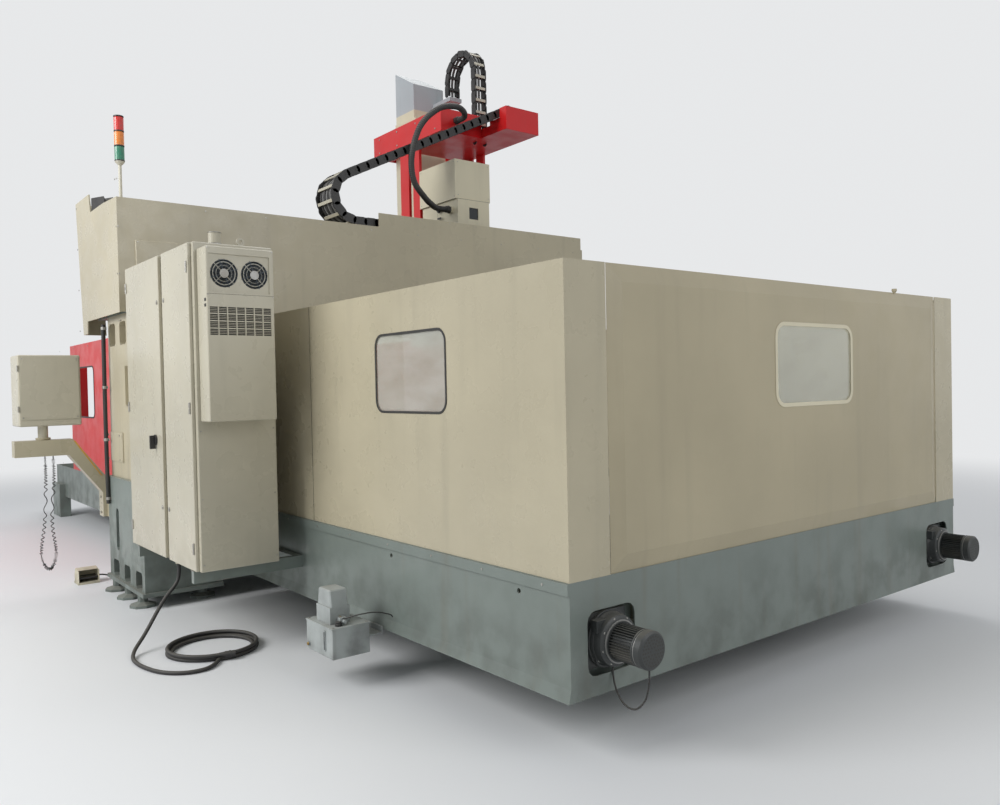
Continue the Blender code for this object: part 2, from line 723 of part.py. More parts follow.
def combine(target, tools, operation):
    for tool in tools:
        step = target.modifiers.new(operation.lower(), "BOOLEAN")
        step.operation = operation
        step.solver = "EXACT"
        step.object = tool
        bake(target)
        bpy.data.objects.remove(tool, do_unlink=True)
    return target


def cut(target, *tools):
    return combine(target, tools, "DIFFERENCE")


def fuse(target, *tools):
    return combine(target, tools, "UNION")


def bevelled(item, width, segments=1, angle_deg=50.0):
    step = item.modifiers.new("edges", "BEVEL")
    step.width = width
    step.segments = segments
    step.limit_method = "ANGLE"
    step.angle_limit = math.radians(angle_deg)
    bake(item)
    return item


def tube(points, radius, resolution=2, name="tube"):
    """Round tube along points, with filled and welded ends."""
    curve = bpy.data.curves.new(name, "CURVE")
    curve.dimensions = "3D"
    curve.bevel_depth = radius
    curve.bevel_resolution = resolution
    curve.use_fill_caps = True
    spline = curve.splines.new("POLY")
    spline.points.add(len(points) - 1)
    for point, place_at in zip(spline.points, points):
        point.co = (*place_at, 1.0)
    source = bpy.data.objects.new(name, curve)
    CUTTERS.objects.link(source)
    bpy.context.view_layer.update()
    graph = bpy.context.evaluated_depsgraph_get()
    mesh = bpy.data.meshes.new_from_object(source.evaluated_get(graph))
    bpy.data.objects.remove(source, do_unlink=True)
    shape = bmesh.new()
    shape.from_mesh(mesh)
    bmesh.ops.remove_doubles(shape, verts=shape.verts, dist=WELD)
    return from_bmesh(name, shape)


def smooth_route(points, spacing):
    """Evenly spaced points on a smooth curve through the route's points."""
    dense = []
    ends = [points[0], *points, points[-1]]
    for before, start, end, after in zip(ends, ends[1:], ends[2:], ends[3:]):
        p0, p1, p2, p3 = (Vector(p) for p in (before, start, end, after))
        for step in range(24):
            t = step / 24
            dense.append(0.5 * ((2 * p1) + (p2 - p0) * t + (2 * p0 - 5 * p1 + 4 * p2 - p3) * t * t
                                + (3 * p1 - p0 - 3 * p2 + p3) * t * t * t))
    dense.append(Vector(points[-1]))
    first_stub = (Vector(points[1]) - dense[0]).normalized() * spacing / 4
    last_stub = (Vector(points[-2]) - dense[-1]).normalized() * spacing / 4
    route = [dense[0], dense[0] + first_stub]
    for point in dense:
        if (point - route[-1]).length >= spacing and (point - dense[-1]).length >= spacing * 0.75:
            route.append(point)
    route += [dense[-1] + last_stub, dense[-1]]
    return [tuple(point) for point in route]


def kept_above(route, lowest):
    """The same route, with no point of it lower than a cord's own radius over the floor."""
    return [(x, y, max(z, lowest)) for x, y, z in route]


def mirror_y(item):
    """Turn a finished shape into its mirror image across the machine's centre plane."""
    shape = bmesh.new()
    shape.from_mesh(item.data)
    bmesh.ops.scale(shape, vec=(1, -1, 1), verts=shape.verts)
    bmesh.ops.reverse_faces(shape, faces=shape.faces)
    shape.to_mesh(item.data)
    shape.free()
    return item


def finish(item, name, material, origin=(0.0, 0.0, 0.0)):
    """Name a finished piece, colour it and put its origin on its joint's axis."""
    item.name = name
    item.data.name = name
    for point in item.data.vertices:
        point.co -= Vector(origin)
    item.location = origin
    item.data.materials.clear()
    item.data.materials.append(MATERIALS[material])
    item.data.shade_smooth()
    item.data.set_sharp_from_angle(angle=math.radians(35))
    CUTTERS.objects.unlink(item)
    PARTS.objects.link(item)
    item.hide_render = False
    item.display_type = "TEXTURED"
    return item


def pad(x, y, top_z):
    """Round levelling pad with its neck, turned in one piece with its carrier."""
    return turned([(0.0, top_z), (PAD_NECK_RADIUS, top_z), (PAD_NECK_RADIUS, PAD_DISC_HEIGHT),
                   (PAD_RADIUS, PAD_DISC_HEIGHT / 2), (PAD_RADIUS, 0.0), (0.0, 0.0)],
                  (x, y, 0.0), steps=PAD_STEPS)


def build_bed():
    half = [(BED_FOOT_HALF_WIDTH, BED_BOTTOM_Z), (BED_HALF_WIDTH, BED_BOTTOM_Z + BED_CHAMFER),
            (BED_HALF_WIDTH, BED_TOP_Z), (WAY_CENTRE_Y + WAY_HALF_WIDTH, BED_TOP_Z),
            (WAY_CENTRE_Y + WAY_HALF_WIDTH, WAY_TOP_Z), (WAY_CENTRE_Y - WAY_HALF_WIDTH, WAY_TOP_Z),
            (WAY_CENTRE_Y - WAY_HALF_WIDTH, BED_TOP_Z), (BED_GROOVE_HALF_WIDTH, BED_TOP_Z),
            (BED_GROOVE_HALF_WIDTH, BED_TOP_Z - BED_GROOVE_DEPTH)]
    outline = half + [(-y, z) for y, z in reversed(half)]
    bed = prism(outline, "X", -BED_HALF_LENGTH, BED_HALF_LENGTH)
    pockets = []
    pads = []
    pocket_z = (BED_BOTTOM_Z + BED_TOP_Z) / 2
    for index in range(-PAD_COUNT_EACH_WAY, PAD_COUNT_EACH_WAY + 1):
        x = index * PAD_PITCH
        for y in (-PAD_ROW_Y, 0.0, PAD_ROW_Y) if index == 0 else (-PAD_ROW_Y, PAD_ROW_Y):
            pads.append(pad(x, y, BED_BOTTOM_Z + BED_CHAMFER))
        if index < PAD_COUNT_EACH_WAY:
            middle = x + PAD_PITCH / 2
            for side in (-1, 1):
                wall = side * BED_HALF_WIDTH
                pockets.append(prism(rounded((middle - BED_POCKET_LENGTH / 2,
                                              middle + BED_POCKET_LENGTH / 2),
                                             (pocket_z - BED_POCKET_HEIGHT / 2,
                                              pocket_z + BED_POCKET_HEIGHT / 2),
                                             BED_POCKET_RADIUS, 2),
                                     "Y", wall - side * BED_POCKET_DEPTH, wall + side * OVERRUN))
    cut(bed, merge_cutters(pockets))
    fuse(bed, merge_cutters(pads))
    reach = COLUMN_INNER_Y - GAP
    fuse(bed, box((COLUMN_FRONT_X, COLUMN_REAR_X), (-reach, reach), CROSS_BASE_Z))
    for side in (-1, 1):
        end = side * (BED_HALF_LENGTH - BEARING_INSET_X)
        inner = end - side * BEARING_LENGTH
        block = box((inner, end), (-BEARING_HALF_WIDTH, BEARING_HALF_WIDTH),
                    (BED_TOP_Z - BED_GROOVE_DEPTH - GAP, BEARING_TOP_Z))
        fuse(bed, block)
    bore_end = BED_HALF_LENGTH - BEARING_INSET_X
    cut(bed, cylinder(SCREW_RADIUS + RUNNING, "X", -bore_end - OVERRUN, bore_end + OVERRUN, (0.0, SCREW_Z)))
    finish(bed, "bed", "blue_grey")


def build_ball_screw():
    half = BED_HALF_LENGTH - BEARING_INSET_X
    screw = cylinder(SCREW_RADIUS, "X", -half, half, (0.0, SCREW_Z))
    finish(screw, "x_ball_screw", "steel", (0.0, 0.0, SCREW_Z))


def build_table():
    half_slot, half_foot = SLOT_WIDTH / 2, SLOT_FOOT_WIDTH / 2
    outline = [(-TABLE_HALF_WIDTH, TABLE_TOP_Z), (-TABLE_HALF_WIDTH, TABLE_BOTTOM_Z + TABLE_LIP),
               (-TABLE_HALF_WIDTH + TABLE_LIP, TABLE_BOTTOM_Z),
               (TABLE_HALF_WIDTH - TABLE_LIP, TABLE_BOTTOM_Z),
               (TABLE_HALF_WIDTH, TABLE_BOTTOM_Z + TABLE_LIP), (TABLE_HALF_WIDTH, TABLE_TOP_Z)]
    slots = []
    neck = TABLE_TOP_Z - SLOT_DEPTH + SLOT_FOOT_HEIGHT
    foot = TABLE_TOP_Z - SLOT_DEPTH
    for index in range(SLOT_COUNT):
        y = ((SLOT_COUNT - 1) / 2 - index) * SLOT_PITCH
        slot = [(y + half_slot, TABLE_TOP_Z + OVERRUN), (y + half_slot, neck), (y + half_foot, neck),
                (y + half_foot, foot),
                (y - half_foot, foot), (y - half_foot, neck), (y - half_slot, neck),
                (y - half_slot, TABLE_TOP_Z + OVERRUN)]
        slots.append(prism(slot, "X", -TABLE_HALF_LENGTH - OVERRUN, TABLE_HALF_LENGTH + OVERRUN))
    table = prism(outline, "X", -TABLE_HALF_LENGTH, TABLE_HALF_LENGTH)
    inner = WAY_CENTRE_Y - CARRIAGE_HALF_WIDTH
    outer = WAY_CENTRE_Y + CARRIAGE_HALF_WIDTH
    low = WAY_TOP_Z - CARRIAGE_SKIRT
    gap_in = WAY_CENTRE_Y - WAY_HALF_WIDTH - RUNNING
    gap_out = WAY_CENTRE_Y + WAY_HALF_WIDTH + RUNNING
    seat = WAY_TOP_Z + GAP
    shoe = [(inner, low), (gap_in, low), (gap_in, seat), (gap_out, seat), (gap_out, low), (outer, low),
            (outer, TABLE_BOTTOM_Z + TABLE_LIP), (inner, TABLE_BOTTOM_Z + TABLE_LIP)]
    for side in (-1, 1):
        fuse(table, prism([(side * y, z) for y, z in shoe], "X", -TABLE_HALF_LENGTH + TABLE_LIP,
                          TABLE_HALF_LENGTH - TABLE_LIP))
    nut = box((-NUT_HALF_LENGTH, NUT_HALF_LENGTH), (-NUT_HALF_WIDTH, NUT_HALF_WIDTH),
              (SCREW_Z - NUT_HALF_WIDTH, TABLE_BOTTOM_Z + TABLE_LIP))
    fuse(table, nut)
    cut(table, cylinder(SCREW_RADIUS + GAP, "X", -NUT_HALF_LENGTH - OVERRUN, NUT_HALF_LENGTH + OVERRUN,
                        (0.0, SCREW_Z)))
    cut(table, merge_cutters(slots))
    finish(table, "table", "iron")


def way_cover(name, side, start, level):
    """One roof of a telescopic cover, with the bulkhead that rides on the guideways."""
    raise_by = level * COVER_STEP
    half = COVER_HALF_WIDTH + raise_by
    top = COVER_TOP_Z + raise_by
    inner = half - COVER_SHEET
    roof_outline = [(-half, COVER_SKIRT_Z), (-half, top), (half, top), (half, COVER_SKIRT_Z),
                    (inner, COVER_SKIRT_Z),
                    (inner, top - COVER_SHEET), (-inner, top - COVER_SHEET), (-inner, COVER_SKIRT_Z)]
    near = side * start
    far = side * (start + COVER_LENGTH)
    cover = prism(roof_outline, "X", min(near, far), max(near, far))
    way_in = WAY_CENTRE_Y - WAY_HALF_WIDTH - RUNNING
    way_out = WAY_CENTRE_Y + WAY_HALF_WIDTH + RUNNING
    low = BED_TOP_Z + COVER_SHEET
    seat = WAY_TOP_Z + GAP
    notch_z = SCREW_Z + NUT_HALF_WIDTH + COVER_STEP
    right = [(COVER_NOTCH_HALF_WIDTH, notch_z), (COVER_NOTCH_HALF_WIDTH, low), (way_in, low),
             (way_in, seat),
             (way_out, seat), (way_out, low), (BED_HALF_WIDTH, low),
             (inner + COVER_SHEET / 2, COVER_SKIRT_Z),
             (inner + COVER_SHEET / 2, top - COVER_SHEET / 2)]
    wall = right + [(-y, z) for y, z in reversed(right)]
    fuse(cover, prism(wall, "X", min(far, far - side * BULKHEAD), max(far, far - side * BULKHEAD)))
    finish(cover, name, "steel")


def build_way_covers():
    fixed_start = BED_HALF_LENGTH - COVER_LENGTH
    table_start = TABLE_HALF_LENGTH + COVER_END_GAP
    middle_start = (fixed_start + table_start) / 2
    for side, label in ((1, "rear"), (-1, "front")):
        way_cover(f"{label}_cover_table", side, table_start, 0)
        way_cover(f"{label}_cover_middle", side, middle_start, 1)
        way_cover(f"{label}_cover_fixed", side, fixed_start, 2)


def build_column(name, side):
    """Column casting on the machine's left (side -1) or right (side 1)."""
    outer = COLUMN_OUTER_Y
    inner = COLUMN_INNER_Y
    column = box((COLUMN_FRONT_X, COLUMN_REAR_X), (-outer, -inner), (COLUMN_BOTTOM_Z, COLUMN_BASE_TOP_Z))
    fuse(column, box((COLUMN_FRONT_X - COLUMN_FLANGE, COLUMN_REAR_X + COLUMN_FLANGE),
                     (-outer - COLUMN_FLANGE, -inner),
                     (COLUMN_BOTTOM_Z, COLUMN_FLANGE_TOP_Z)))
    fuse(column, box((COLUMN_FRONT_X + COLUMN_STEP, COLUMN_REAR_X - COLUMN_STEP),
                     (-outer + COLUMN_STEP, -inner),
                     (COLUMN_BASE_TOP_Z - COLUMN_STEP, COLUMN_TOP_Z)))
    skin = -outer + COLUMN_STEP
    fuse(column, box(COVER_PLATE_X, (skin - COVER_PLATE_RAISE, skin + COVER_PLATE_RAISE), COVER_PLATE_Z))
    fuse(column, box(COLUMN_SWITCH_X, (skin - COLUMN_SWITCH_RAISE, skin + COLUMN_SWITCH_RAISE),
                     COLUMN_SWITCH_Z))
    pockets = []
    for index in range(COLUMN_OPENING_COUNT):
        start = COLUMN_OPENING_START_X + index * COLUMN_OPENING_PITCH
        pockets.append(prism(rounded((start, start + COLUMN_OPENING_WIDTH),
                                     (COLUMN_OPENING_LOW_Z, COLUMN_OPENING_HIGH_Z),
                                     COLUMN_OPENING_RADIUS, 1),
                             "Y", -outer - OVERRUN, -outer + COLUMN_OPENING_DEPTH))
    pockets.append(prism(rounded(COLUMN_SLOT_X, COLUMN_SLOT_Z, COLUMN_OPENING_RADIUS, 1), "Y",
                         -outer - OVERRUN,
                         -outer + COLUMN_OPENING_DEPTH))
    for window_x in COLUMN_WINDOW_X:
        pockets.append(prism(rounded(window_x, COLUMN_WINDOW_Z, COLUMN_OPENING_RADIUS, 1), "Y",
                             -outer - OVERRUN,
                             -outer + COLUMN_OPENING_DEPTH))
    cut(column, merge_cutters(pockets))
    feet = [pad(x, y, (COLUMN_BOTTOM_Z + COLUMN_FLANGE_TOP_Z) / 2) for x in COLUMN_PAD_X
            for y in (-outer + COLUMN_PAD_INSET / 5, -inner - COLUMN_PAD_INSET)]
    fuse(column, merge_cutters(feet))
    if side > 0:
        mirror_y(column)
    finish(column, name, "beige")


def build_crossrail():
    way_front = RAIL_FRONT_X - RAIL_WAY_PROUD
    outline = [(RAIL_REAR_X, RAIL_BOTTOM_Z), (RAIL_REAR_X, RAIL_TOP_Z),
               (RAIL_FRONT_X + RAIL_CHAMFER, RAIL_TOP_Z),
               (RAIL_FRONT_X, RAIL_TOP_Z - RAIL_CHAMFER / 2)]
    for way_z in (RAIL_UPPER_WAY_Z, RAIL_LOWER_WAY_Z):
        outline += [(RAIL_FRONT_X, way_z + RAIL_WAY_HEIGHT / 2), (way_front, way_z + RAIL_WAY_HEIGHT / 2),
                    (way_front, way_z - RAIL_WAY_HEIGHT / 2), (RAIL_FRONT_X, way_z - RAIL_WAY_HEIGHT / 2)]
    outline += [(RAIL_FRONT_X + RAIL_CHAMFER / 2, RAIL_BOTTOM_Z)]
    rail = prism(outline, "Y", -RAIL_HALF_LENGTH, RAIL_HALF_LENGTH)
    finish(rail, "crossrail", "blue_grey")


def build_crossrail_cover():
    back = RAIL_COVER_X - RAIL_COVER_SHEET
    lid = RAIL_COVER_TOP_Z - RAIL_COVER_SHEET
    seat = RAIL_TOP_Z + GAP
    outline = [(RAIL_COVER_X, RAIL_COVER_BOTTOM_Z), (RAIL_COVER_X, RAIL_COVER_TOP_Z),
               (RAIL_COVER_FRONT_X, RAIL_COVER_TOP_Z), (RAIL_COVER_FRONT_X, seat),
               (RAIL_COVER_FRONT_X + RAIL_COVER_SHEET, seat), (RAIL_COVER_FRONT_X + RAIL_COVER_SHEET, lid),
               (back, lid), (back, RAIL_COVER_BOTTOM_Z + RAIL_COVER_SHEET),
               (RAIL_REAR_X + GAP, RAIL_COVER_BOTTOM_Z + RAIL_COVER_SHEET),
               (RAIL_REAR_X + GAP, RAIL_COVER_BOTTOM_Z)]
    cover = prism(outline, "Y", -RAIL_COVER_HALF_LENGTH, RAIL_COVER_HALF_LENGTH)
    hatch = box((back, RAIL_COVER_X + HATCH_RAISE), HATCH_Y, HATCH_Z)
    fuse(cover, bevelled(hatch, RAIL_COVER_SHEET))
    finish(cover, "crossrail_cover", "beige")


def build_end_cover(name, side):
    """Folded end cover: a face with a high front part, a notch over the bellows and a tab."""
    face = [(RAIL_COVER_X, END_COVER_LOW_Z), (RAIL_COVER_X, RAIL_COVER_TOP_Z),
            (BELLOWS_X[1], END_COVER_NOTCH_Z),
            (END_COVER_NOTCH_X[1], END_COVER_NOTCH_Z), (END_COVER_NOTCH_X[0], END_COVER_HIGH_Z),
            (END_COVER_FRONT_X, END_COVER_HIGH_Z), (END_COVER_FRONT_LOW_X, END_COVER_TAB_Z),
            (END_COVER_TAB_X, END_COVER_TAB_Z), (END_COVER_TAB_X, END_COVER_LOW_Z)]
    cover = prism(face, "Y", -END_COVER_Y - END_COVER_SHEET, -END_COVER_Y)
    fold = [(END_COVER_FRONT_X, END_COVER_HIGH_Z), (END_COVER_FRONT_LOW_X, END_COVER_TAB_Z),
            (END_COVER_FRONT_LOW_X + END_COVER_SHEET, END_COVER_TAB_Z),
            (END_COVER_FRONT_X + END_COVER_SHEET, END_COVER_HIGH_Z)]
    fuse(cover, prism(fold, "Y", -END_COVER_Y - END_COVER_SHEET / 2, -END_COVER_Y + END_COVER_RETURN))
    if side > 0:
        mirror_y(cover)
    finish(cover, name, "beige")


def build_bellows(name, start, end):
    """Pleated cover between an end cover and the saddle."""
    span = end - start
    pleat = span / BELLOWS_PLEATS
    outline = [(start, BELLOWS_LOW_Z)]
    for index in range(BELLOWS_PLEATS):
        outline.append((start + index * pleat, BELLOWS_HIGH_Z - BELLOWS_FOLD_DEPTH))
        outline.append((start + (index + 0.5) * pleat, BELLOWS_HIGH_Z))
    outline += [(end, BELLOWS_HIGH_Z - BELLOWS_FOLD_DEPTH), (end, BELLOWS_LOW_Z)]
    finish(prism(outline, "X", *BELLOWS_X), name, "black")


def build_chain_tray():
    x0, x1 = TRAY_X
    outline = [(x0, TRAY_HIGH_Z), (x0, TRAY_LOW_Z), (x1, TRAY_LOW_Z), (x1, TRAY_HIGH_Z),
               (x1 - SHEET, TRAY_HIGH_Z),
               (x1 - SHEET, TRAY_LOW_Z + SHEET), (x0 + SHEET, TRAY_LOW_Z + SHEET),
               (x0 + SHEET, TRAY_HIGH_Z)]
    finish(prism(outline, "Y", *TRAY_Y), "chain_tray", "beige")


def chain_path():
    """Centre line of the crossrail chain in (y, z), from its fixed end to its moving end."""
    rise = math.radians(CHAIN_RISE_DEG)
    centre_z = CHAIN_LOW_Z + CHAIN_LOOP_RADIUS
    path = [(CHAIN_LOOP_Y + (CHAIN_LOWER_LINKS - index) * CHAIN_PITCH, CHAIN_LOW_Z)
            for index in range(CHAIN_LOWER_LINKS)]
    turn = math.pi - rise
    links = max(3, round(turn * CHAIN_LOOP_RADIUS / CHAIN_PITCH))
    for index in range(links + 1):
        angle = -math.pi / 2 - turn * index / links
        path.append((CHAIN_LOOP_Y + CHAIN_LOOP_RADIUS * math.cos(angle),
                     centre_z + CHAIN_LOOP_RADIUS * math.sin(angle)))
    last = path[-1]
    for index in range(1, CHAIN_UPPER_LINKS + 1):
        path.append((last[0] + index * CHAIN_PITCH * math.cos(rise),
                     last[1] + index * CHAIN_PITCH * math.sin(rise)))
    return path


def chain_stations(path, height):
    """Places along a chain: (point, normal, half height, whether a bar starts there)."""
    stations = []
    for index, point in enumerate(path):
        before = Vector(path[max(index - 1, 0)])
        after = Vector(path[min(index + 1, len(path) - 1)])
        along = (after - before).normalized()
        stations.append((Vector(point), Vector((-along.y, along.x)), height / 2, False))
        if index < len(path) - 1:
            link = (Vector(path[index + 1]) - Vector(point)).normalized()
            middle = (Vector(path[index + 1]) + Vector(point)) / 2
            normal = Vector((-link.y, link.x))
            stations.append((middle - link * CHAIN_BAR, normal, height / 2, True))
            stations.append((middle + link * CHAIN_BAR, normal, height / 2, False))
    return stations


def chain_solid(path, axis, low, high, height):
    """Sweep in cells: two side bands, with a bar across each link on both of its faces."""
    stations = chain_stations(path, height)
    across = (low, low + CHAIN_BAND, high - CHAIN_BAND, high)
    room = height / 2 - CHAIN_SKIN
    shape = bmesh.new()
    made = {}

    def corner(station, lane, level):
        key = (station, lane, level)
        if key not in made:
            point, normal, half, _ = stations[station]
            flat = point + normal * (-half, -room, room, half)[level]
            place_at = (across[lane], *flat) if axis == "X" else (flat[0], across[lane], flat[1])
            made[key] = shape.verts.new(place_at)
        return made[key]

    def filled(station, lane, level):
        if not (0 <= station < len(stations) - 1 and 0 <= lane <= 2 and 0 <= level <= 2):
            return False
        return lane != 1 or (level != 1 and stations[station][3])

    sides = (((-1, 0, 0), ((0, 0, 0), (0, 0, 1), (0, 1, 1), (0, 1, 0))),
             ((1, 0, 0), ((1, 0, 0), (1, 1, 0), (1, 1, 1), (1, 0, 1))),
             ((0, -1, 0), ((0, 0, 0), (1, 0, 0), (1, 0, 1), (0, 0, 1))),
             ((0, 1, 0), ((0, 1, 0), (0, 1, 1), (1, 1, 1), (1, 1, 0))),
             ((0, 0, -1), ((0, 0, 0), (0, 1, 0), (1, 1, 0), (1, 0, 0))),
             ((0, 0, 1), ((0, 0, 1), (1, 0, 1), (1, 1, 1), (0, 1, 1))))
    for station in range(len(stations) - 1):
        for lane in range(3):
            for level in range(3):
                if not filled(station, lane, level):
                    continue
                for step, corners in sides:
                    if not filled(station + step[0], lane + step[1], level + step[2]):
                        shape.faces.new([corner(station + i, lane + j, level + k) for i, j, k in corners])
    bmesh.ops.recalc_face_normals(shape, faces=shape.faces)
    bmesh.ops.dissolve_limit(shape, angle_limit=FLAT_ANGLE, verts=shape.verts, edges=shape.edges)
    return from_bmesh("chain", shape)


def build_crossrail_chain():
    finish(chain_solid(chain_path(), "X", *CHAIN_X, CHAIN_HEIGHT), "crossrail_cable_chain", "black")


def build_ram_chain():
    """Chain that stands on the platform and folds over towards the ram."""
    radius = (RAM_CHAIN_X - RAM_CHAIN_END_X) / 2
    centre_x = (RAM_CHAIN_X + RAM_CHAIN_END_X) / 2
    foot = PLATFORM_Z[0] + SHEET + GAP
    step = (RAM_CHAIN_TOP_Z - foot) / RAM_CHAIN_LINKS
    path = [(RAM_CHAIN_X, foot + index * step) for index in range(RAM_CHAIN_LINKS)]
    turns = RAM_CHAIN_LINKS
    for index in range(turns + 1):
        angle = math.pi * index / turns
        path.append((centre_x + radius * math.cos(angle), RAM_CHAIN_TOP_Z + radius * math.sin(angle)))
    path.append((RAM_CHAIN_END_X, RAM_CHAIN_ARM_Z[1] + GAP))
    finish(chain_solid(path, "Y", *RAM_CHAIN_Y, RAM_CHAIN_HEIGHT), "ram_cable_chain", "black")


def build_saddle():
    """Saddle plate on the crossrail's front ways, with a bridge over its crest and the ram guide."""
    low_y, high_y = HEAD_Y - SADDLE_HALF_WIDTH, HEAD_Y + SADDLE_HALF_WIDTH
    way_front = RAIL_FRONT_X - RAIL_WAY_PROUD
    seat = way_front - GAP
    crest = RAIL_TOP_Z + GAP
    outline = [(SADDLE_FRONT_X, SADDLE_BOTTOM_Z), (SADDLE_FRONT_X, SADDLE_CREST_Z),
               (SADDLE_REAR_X, SADDLE_CREST_Z),
               (SADDLE_REAR_X, crest + SADDLE_GIB), (SADDLE_REAR_X - SADDLE_GIB, crest + SADDLE_GIB),
               (SADDLE_REAR_X - SADDLE_GIB, crest), (RAIL_FRONT_X + RAIL_CHAMFER, crest),
               (RAIL_FRONT_X - RUNNING, crest - RAIL_CHAMFER / 2),
               (seat, RAIL_UPPER_WAY_Z + RAIL_WAY_HEIGHT),
               (seat, SADDLE_BOTTOM_Z)]
    saddle = prism(outline, "Y", low_y, high_y)
    outer = RAM_GUIDE_HALF_WIDTH
    front = SADDLE_FRONT_X - RAM_GUIDE_DEPTH + RAM_GUIDE_WALL
    guide = box((front, SADDLE_FRONT_X + RUNNING), (HEAD_Y - outer, HEAD_Y + outer),
                (SADDLE_BOTTOM_Z + SADDLE_GIB, SADDLE_CREST_Z - SADDLE_GIB))
    fuse(saddle, guide)
    clearance = GAP
    hole = box((RAM_FRONT_X - clearance, RAM_REAR_X + clearance),
               (HEAD_Y - RAM_HALF_WIDTH - clearance, HEAD_Y + RAM_HALF_WIDTH + clearance),
               (SADDLE_BOTTOM_Z - OVERRUN, SADDLE_CREST_Z + OVERRUN))
    cut(saddle, hole)
    finish(saddle, "saddle", "blue_grey")


def build_platform():
    """Red sheet platform round the ram, with a tail that takes the chain and two posts."""
    low_y, high_y = HEAD_Y - PLATFORM_HALF_WIDTH, HEAD_Y + PLATFORM_HALF_WIDTH
    x0, x1 = PLATFORM_X
    tail_low, tail_high = PLATFORM_TAIL_Y
    outline = [(x0, low_y), (x1, low_y), (x1, tail_low), (PLATFORM_TAIL_X, tail_low),
               (PLATFORM_TAIL_X, tail_high),
               (x0, tail_high)]
    s = SHEET
    inner = [(x0 + s, low_y + s), (x1 - s, low_y + s), (x1 - s, tail_low + s),
             (PLATFORM_TAIL_X - s, tail_low + s),
             (PLATFORM_TAIL_X - s, tail_high - s), (x0 + s, tail_high - s)]
    low_z, high_z = PLATFORM_Z
    platform = prism(outline, "Z", low_z, high_z)
    cut(platform, prism(inner, "Z", low_z + SHEET, high_z + OVERRUN))
    room = RAM_GUIDE_WALL
    cut(platform, box((RAM_FRONT_X - room / 3, RAM_REAR_X + room),
                      (HEAD_Y - RAM_HALF_WIDTH - room, HEAD_Y + RAM_HALF_WIDTH + room),
                      (low_z - OVERRUN, low_z + OVERRUN)))
    cut(platform, box((CHAIN_X[0] - s, CHAIN_X[1] + s), (tail_low - OVERRUN, tail_low + OVERRUN / 2),
                      (low_z + PLATFORM_CHAIN_CUT_Z, high_z + OVERRUN)))
    path = chain_path()
    before, end = Vector(path[-2]), Vector(path[-1])
    along = (end - before).normalized()
    under = Vector((along.y, -along.x)) * (CHAIN_HEIGHT / 2 + GAP)
    rest = [before + along * CHAIN_PITCH / 2 + under, end + under]
    wedge = [tuple(rest[0]), tuple(rest[1]), (rest[1].x, low_z + s / 2), (rest[0].x, low_z + s / 2)]
    fuse(platform, prism(wedge, "X", CHAIN_X[0] + CHAIN_BAND, CHAIN_X[1] - CHAIN_BAND))
    for post_x in PLATFORM_POST_X:
        for start in (low_y + PLATFORM_POST_INSET, high_y - PLATFORM_POST_INSET - PLATFORM_POST_THICKNESS):
            fuse(platform, box(post_x, (start, start + PLATFORM_POST_THICKNESS),
                               (SADDLE_CREST_Z + GAP, low_z + SHEET / 2)))
    finish(platform, "chain_platform", "red")


def socket_place():
    """Centre (x, z) of the round socket that takes the conduit."""
    middle_z = (JUNCTION_BASE_Z + JUNCTION_SPLIT_Z) / 2
    return JUNCTION_X[1] - JUNCTION_WINDOW, middle_z + JUNCTION_SOCKET_RADIUS


def build_junction_box():
    """Stepped cream box behind the saddle's crest, with a round socket and a window."""
    x0, x1 = JUNCTION_X
    y0, y1 = JUNCTION_Y
    o = JUNCTION_OVERHANG
    item = box((x0 + o, x1), (y0 + o, y1 - o), (JUNCTION_BASE_Z, JUNCTION_SPLIT_Z + SHEET))
    fuse(item, box((x0, x1 - o / 2), (y0, y1), (JUNCTION_SPLIT_Z, JUNCTION_TOP_Z)))
    middle_z = (JUNCTION_BASE_Z + JUNCTION_SPLIT_Z) / 2
    fuse(item, cylinder(JUNCTION_SOCKET_RADIUS, "Y", y0, y0 + 2 * o, socket_place()))
    middle_y = (y0 + y1) / 2
    cut(item, box((x1 - o / 2, x1 + OVERRUN), (middle_y - JUNCTION_WINDOW / 2,
                                               middle_y + JUNCTION_WINDOW / 2),
                  (middle_z - JUNCTION_WINDOW / 2, middle_z + JUNCTION_WINDOW / 2)))
    finish(item, "junction_box", "cream")


def build_ram():
    """Square ram with its head housing on top and the spindle bore in its nose."""
    y0, y1 = HEAD_Y - RAM_HALF_WIDTH, HEAD_Y + RAM_HALF_WIDTH
    c = RAM_CHAMFER
    x0, x1 = RAM_FRONT_X, RAM_REAR_X
    outline = [(x0 + c, y0), (x1 - c, y0), (x1, y0 + c), (x1, y1 - c), (x1 - c, y1), (x0 + c, y1),
               (x0, y1 - c), (x0, y0 + c)]
    ram = prism(outline, "Z", RAM_NOSE_Z + RAM_NOSE_LENGTH, RAM_TOP_Z)
    s = RAM_HOUSING_SHRINK
    housing = [(x0 + s, RAM_TOP_Z - s), (x1 - s, RAM_TOP_Z - s), (x1 - s, RAM_HOUSING_LOW_TOP_Z),
               (x0 + s, RAM_HOUSING_TOP_Z)]
    fuse(ram, prism(housing, "Y", y0 + s, y1 - s))
    arm = box((x1 - 2 * s, RAM_CHAIN_END_X + RAM_CHAIN_HEIGHT), RAM_CHAIN_Y, RAM_CHAIN_ARM_Z)
    fuse(ram, arm)
    centre = ((x0 + x1) / 2, HEAD_Y)
    fuse(ram, cylinder(RAM_NOSE_RADIUS, "Z", RAM_NOSE_Z, RAM_NOSE_Z + RAM_NOSE_LENGTH + s, centre, 24))
    cut(ram, cylinder(RAM_BORE_RADIUS, "Z", RAM_NOSE_Z - OVERRUN, RAM_NOSE_Z + SPINDLE_LENGTH + RUNNING,
                      centre, 24))
    finish(ram, "ram", "cream")


